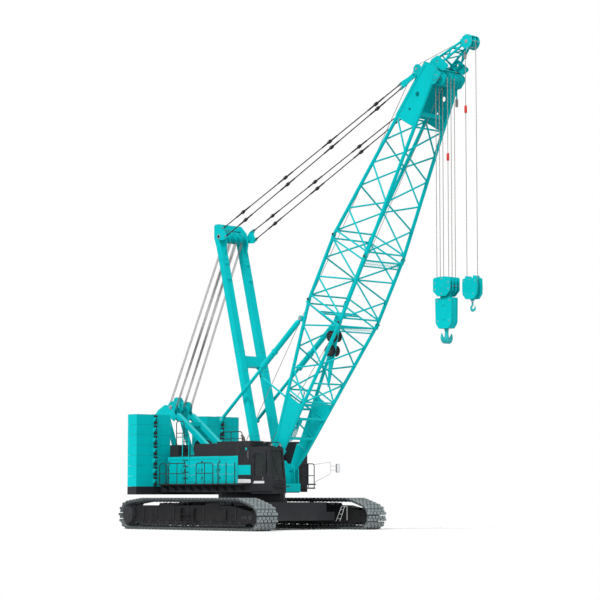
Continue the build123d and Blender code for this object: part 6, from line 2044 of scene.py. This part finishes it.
def make_stripe():
    """The pale stripe that runs along the cab and the black panel."""
    for name, body, outline, face, thick in (
        ("side_stripe", "upper",
         [(0.96, 2.02), (1.82, 2.02), (1.82, 2.17), (1.3, 2.19), (0.96, 2.19)], -DECK_SIDE, 0.003),
        ("door_stripe", "cab_door", box_outline((2.0, 2.0), (2.73, 2.1)), CAB_OUTER, 0.0025),
    ):
        form = Form()
        form.slab(outline, face - thick, face, "stripe")
        finish_piece(name, form, body)


def make_mast_details():
    """Mast pins, flange plates, bolts and pads."""
    form = Form()
    for s in SIDES:
        form.turned((MAST_PIVOT[0], s * 0.94, MAST_PIVOT[1]), (0, s, 0), [
            (-0.028, 0.105), (-0.008, 0.105), (-0.004, 0.08), (0.0, 0.07), (0.0, 0.02),
        ], "steel", 24)
        spots = []
        for along in (1.3, 4.3, 5.2, 9.5):
            corners = box_outline((-0.17, -0.15), (0.17, 0.15))
            loop = [place(MAST, along, b, s * MAST_LEG_SIDE + a) for a, b in corners]
            form.tube(loop, 0.012, "teal", 8, closed=True)
            for b in (-0.1, 0.1):
                for a in (0.1, -0.1):
                    spots.append((place(MAST, along + a, b, s * 0.79), Vector((0, s, 0))))
        bolts(form, spots, "teal")
        for along in (8.6, 9.35):
            pad = [(along - 0.09, -0.15), (along + 0.09, -0.15), (along + 0.05, -0.21), (along - 0.05, -0.21)]
            form.plate(pad, s, 0.5, 0.74, "teal", MAST)
    finish_piece("mast_details", form, "mast")


def make_gantry_details():
    """Gantry axle nuts, pin plates and bolts."""
    form = Form()
    spots = []
    for s in SIDES:
        axle = Vector((GANTRY_AXLE[0], s * 0.56, GANTRY_AXLE[1]))
        for point, radius in ((axle, 0.1), ((-1.65, s * 0.53, 3.08), 0.11)):
            form.turned(point, (0, s, 0), [
                (0.0, radius), (0.015, radius), (0.018, 0.07), (0.05, 0.07), (0.055, 0.05),
            ], "steel", 20)
        spots += bolt_circle(axle + Vector((0, s * 0.015, 0)), (0, s, 0), 0.085, 6)
    bolts(form, spots, "steel", 0.012)
    finish_piece("gantry_details", form, "upper")


def make_ballast_details():
    """Lugs, lifting bows, tie bolts and pads of the counterweight stacks."""
    form = Form()
    pitch = (SLAB_TOP - SLAB_BASE) / SLAB_COUNT
    spots = []
    for s in SIDES:
        y = s * 2.0
        for low in (SLAB_BASE + i * pitch for i in range(SLAB_COUNT)):
            spots += [(Vector((-5.02, s * side, low + pitch / 2)), Vector((-1, 0, 0))) for side in (1.3, 2.7)]
            for z in (low + 0.09, low + pitch - 0.09):
                form.turned((-4.315, y - 0.075, z), (0, 1, 0), [
                    (0.0, 0.05), (0.02, 0.06), (0.13, 0.06), (0.15, 0.05),
                ], "black", 14)
            bow = [
                (-4.34, low + 0.1), (-4.27, low + 0.16), (-4.265, low + pitch - 0.2),
                (-4.34, low + pitch - 0.12),
            ]
            form.tube(rounded([(x, y, z) for x, z in bow], 0.05), 0.018, "black", 8)
        for x in (-4.86, -4.54):
            form.turned((x, s * 1.9, SLAB_TOP), UP, [
                (0.0, 0.1), (0.015, 0.1), (0.018, 0.04), (0.02, 0.03),
            ], "teal", 20)
    bolts(form, spots, "teal", 0.028)
    finish_piece("ballast_details", form, "upper")


# Finishes and stage
def dress_nodes():
    """Better finishes on the carried-over solids, by their own slots."""
    finishes = {"glass": "cab_glass", "seat": "rubber"}
    # The side frames take a darker copy of the black paint: painted shade.
    special = {
        "revolving_frame": "frame_teal", "side_frame_left": "frame_black", "side_frame_right": "frame_black",
    }
    for row in frame["record"]["subparts"]:
        obj = frame["nodes"].get(row["node"])
        if obj is None:
            continue
        slot_look = row["material_slot"]
        look = looks[special.get(row["node"], finishes.get(slot_look, slot_look))]
        if not obj.material_slots:
            obj.data.materials.append(look)
        for slot in obj.material_slots:
            slot.material = look


def make_finishes():
    """All materials."""
    effects.update({
        "paint_drift": build_drift(),
        "rain_streaks": build_streaks(),
        "settled_dust": build_dust(),
        "edge_wear": build_edge_wear(),
        "rope_lay": build_lay(),
    })
    trees.update({"set_on_points": build_set_on_points(), "tubes_on_edges": build_tubes_on_edges()})
    colours = bpy.context.scene.crane_colours
    grey = (0.1, 0.1, 0.1)
    teal = (colours.teal, 0.4, 1.6, 0.2, 0.35, (0.16, 0.15, 0.14), 0.2, 0.05)
    # Colour, roughness, dust height and amount, wear, worn colour, streaks, specular, metallic
    for name, *values in (
        ("teal", *teal),
        ("black", colours.black, 0.5, 1.2, 0.05, 0.5, grey, 0.2, 0.16),
        # The side frames' black at 0.45 of its brightness is painted shade.
        ("frame_black", shade(colours.black, 0.45), 0.55, 1.2, 0.05, 0.5, (0.07, 0.07, 0.07), 0.2, 0.1),
        ("shoe", colours.shoe, 0.6, 0.7, 0.3, 0.8, (0.5, 0.52, 0.52), 0.3, 0.3),
        ("steel", colours.steel, 0.38, 1.0, 0.2, 0.4, (0.6, 0.6, 0.6), 0.3, 0.25, 0.8),
        ("hook_steel", (0.01, 0.42, 0.44), 0.45, 1.0, 0.2, 0.9, (0.3, 0.3, 0.3), 0.3),
        ("exhaust", (0.12, 0.1, 0.09), 0.7, 1.0, 0.3, 0.5, (0.2, 0.17, 0.15), 0.6, 0.25, 0.5),
        ("rubber", (0.02, 0.02, 0.021), 0.75, 2.0, 0.3, 0.2, (0.06, 0.06, 0.06), 0.1),
        ("plastic", (0.045, 0.046, 0.05), 0.6, 1.0, 0.15, 0.2, grey, 0.0),
        ("stripe", (0.78, 0.79, 0.8), 0.45, 1.6, 0.3, 0.3, grey, 0.4),
        ("red", (0.6, 0.03, 0.02), 0.45, 1.0, 0.2, 0.4, (0.3, 0.25, 0.22), 0.2),
        ("mirror_arm", (0.7, 0.7, 0.7), 0.5, 1.0, 0.3, 0.4, (0.2, 0.2, 0.2), 0.2),
        ("grey_switch", (0.25, 0.25, 0.25), 0.5, 1.0, 0.2, 0.3, (0.4, 0.4, 0.4), 0.2),
        ("frame_teal", *teal),
    ):
        painted(name, *values)
    rope_material("wire_rope", 6.0, 6.5, 0.004)
    rope_material("wire_rope_flat", 0.0, 40.0, 0.002)
    split_paint("frame_teal", 1.635, colours.black)
    # The shoe faces that look to either side get painted shade.
    paint_shade_on_ends("shoe", (0.03, 0.033, 0.036))
    glass_material()
    fabric_material()
    lamp_material()
    mirror_material()
    dress_nodes()


def make_surroundings(scene):
    """A white world that the camera sees brighter than it lights."""
    world = scene.world = bpy.data.worlds.new("studio")
    world.use_nodes = True
    tree = world.node_tree
    sky = tree.nodes["Background"]
    sky.inputs[0].default_value = (1.0, 1.0, 1.0, 1.0)
    sky.inputs[1].default_value = 0.62
    white = node(tree, "ShaderNodeBackground", in_0=(1.0, 1.0, 1.0, 1.0))
    rays = node(tree, "ShaderNodeLightPath").outputs
    seen = maths(tree, "MAXIMUM", rays["Is Camera Ray"], rays["Is Glossy Ray"])
    seen = maths(tree, "MAXIMUM", seen, rays["Is Transmission Ray"])
    mix = node(tree, "ShaderNodeMixShader", [(0, seen), (1, sky), (2, white)])
    join(tree, mix, tree.nodes["World Output"].inputs[0])


def make_floor(scene):
    """A pale floor that fades into the surroundings."""
    radius = scene.crane_sizes.floor_radius
    disc = bmesh.new()
    bmesh.ops.create_circle(disc, cap_ends=True, radius=radius * 1.6, segments=64)
    mesh = bpy.data.meshes.new("floor")
    disc.to_mesh(mesh)
    disc.free()
    floor = bpy.data.objects.new("floor", mesh)
    scene.collection.objects.link(floor)
    tree = new_material("floor_white", (0.92, 0.92, 0.92), Roughness=0.9, Specular_IOR_Level=0.1)[0]
    reach = node(tree, "ShaderNodeVectorMath", [(0, object_place(tree))], operation="LENGTH")
    fade = ramp(tree, reach.outputs["Value"], radius * 0.5, radius * 1.5)
    fade.interpolation_type = "SMOOTHSTEP"
    clear = node(tree, "ShaderNodeBsdfTransparent")
    mix = node(tree, "ShaderNodeMixShader", [(0, fade), (1, tree.nodes["Principled BSDF"]), (2, clear)])
    join(tree, mix, tree.nodes["Material Output"].inputs[0])
    mesh.materials.append(looks["floor_white"])


def aim(item, direction):
    """Turns a lamp or camera to look this way."""
    item.rotation_euler = Vector(direction).to_track_quat("-Z", "Y").to_euler()
    bpy.context.scene.collection.objects.link(item)


def make_stage():
    """Floor, white surroundings, lamps and the camera at the photograph's viewing angle."""
    scene = bpy.context.scene
    scene.view_settings.view_transform = "Standard"
    make_surroundings(scene)
    make_floor(scene)
    for name, energy, spread, direction in (
        ("key", 2.3, 20.0, (-0.15, 0.62, -0.75)),
        ("fill", 0.7, 50.0, (-0.8, 0.35, -0.35)),
    ):
        lamp = bpy.data.lights.new(name, "SUN")
        lamp.energy = energy
        lamp.angle = radians(spread)
        aim(bpy.data.objects.new(name, lamp), direction)
    azimuth, pitch = 0.824, 0.0958
    camera_data = bpy.data.cameras.new("view")
    camera_data.sensor_width = 36.0
    camera_data.lens = 2019.7 / 600 * 36.0
    camera_data.clip_end = 500.0
    camera = bpy.data.objects.new("view", camera_data)
    camera.location = (67.278, -59.371, 1.541)
    aim(camera, (-sin(azimuth) * cos(pitch), cos(azimuth) * cos(pitch), sin(pitch)))
    scene.camera = camera


def piece_operator(name, label, build):
    """The class of an operator that builds one piece or a group of like pieces."""
    def execute(self, context):
        build()
        return {"FINISHED"}

    return type(
        "CRANE_OT_" + name, (bpy.types.Operator,),
        {"bl_idname": "crane." + name, "bl_label": label, "__doc__": build.__doc__, "execute": execute},
    )


steps = [
    ("finishes", "Finishes", make_finishes),
    ("stage", "Stage", make_stage),
    ("tracks", "Tracks", make_tracks),
    ("running_gear", "Running gear", make_running_gear),
    ("lower_details", "Lower details", make_lower_details),
    ("boom_base", "Boom base", make_boom_base),
    ("boom_insert", "Boom insert", make_boom_insert),
    ("boom_tip", "Boom tip", make_boom_tip),
    ("aux_jib", "Auxiliary jib", make_aux_jib),
    ("sheaves", "Sheaves", make_sheaves),
    ("guide_rollers", "Guide rollers", make_guide_rollers),
    ("mast_stops", "Mast stops", make_mast_stops),
    ("pendants", "Pendants", make_pendants),
    ("ropes", "Ropes", make_ropes),
    ("blocks", "Hook blocks", make_blocks),
    ("hooks", "Hooks", make_hooks),
    ("backstops", "Backstops", make_backstops),
    ("drums", "Winch drums", make_drums),
    ("walkways", "Walkways", make_walkways),
    ("roof_rails", "Roof rails and ladder", make_roof_rails),
    ("platform", "Front platform", make_platform),
    ("seat", "Operator's seat", make_seat),
    ("cab_details", "Cab details", make_cab_details),
    ("housing_details", "Housing details", make_housing_details),
    ("stripe", "Side stripes", make_stripe),
    ("mast_details", "Mast details", make_mast_details),
    ("gantry_details", "Gantry details", make_gantry_details),
    ("ballast_details", "Counterweight details", make_ballast_details),
]
operators = [piece_operator(*step) for step in steps]


class CRANE_PT_pieces(bpy.types.Panel):
    """Lists the crane's pieces in the sidebar."""

    bl_label = "Crawler crane"
    bl_idname = "CRANE_PT_pieces"
    bl_space_type = "VIEW_3D"
    bl_region_type = "UI"
    bl_category = "Crane"

    def draw(self, context):
        for name, label, build in steps:
            self.layout.operator("crane." + name, text=label)


classes = [CraneColours, CraneSizes, *operators, CRANE_PT_pieces]


def register():
    """Registers the classes and their settings."""
    for entry in classes:
        bpy.utils.register_class(entry)
    bpy.types.Scene.crane_colours = PointerProperty(type=CraneColours)
    bpy.types.Scene.crane_sizes = PointerProperty(type=CraneSizes)


def unregister():
    """Takes the classes and their settings away again."""
    del bpy.types.Scene.crane_colours
    del bpy.types.Scene.crane_sizes
    for entry in reversed(classes):
        bpy.utils.unregister_class(entry)


def main():
    """Builds every piece and writes the two boxes."""
    register()
    for name, label, build in steps:
        getattr(bpy.ops.crane, name)()


if __name__ == "__main__":
    main()
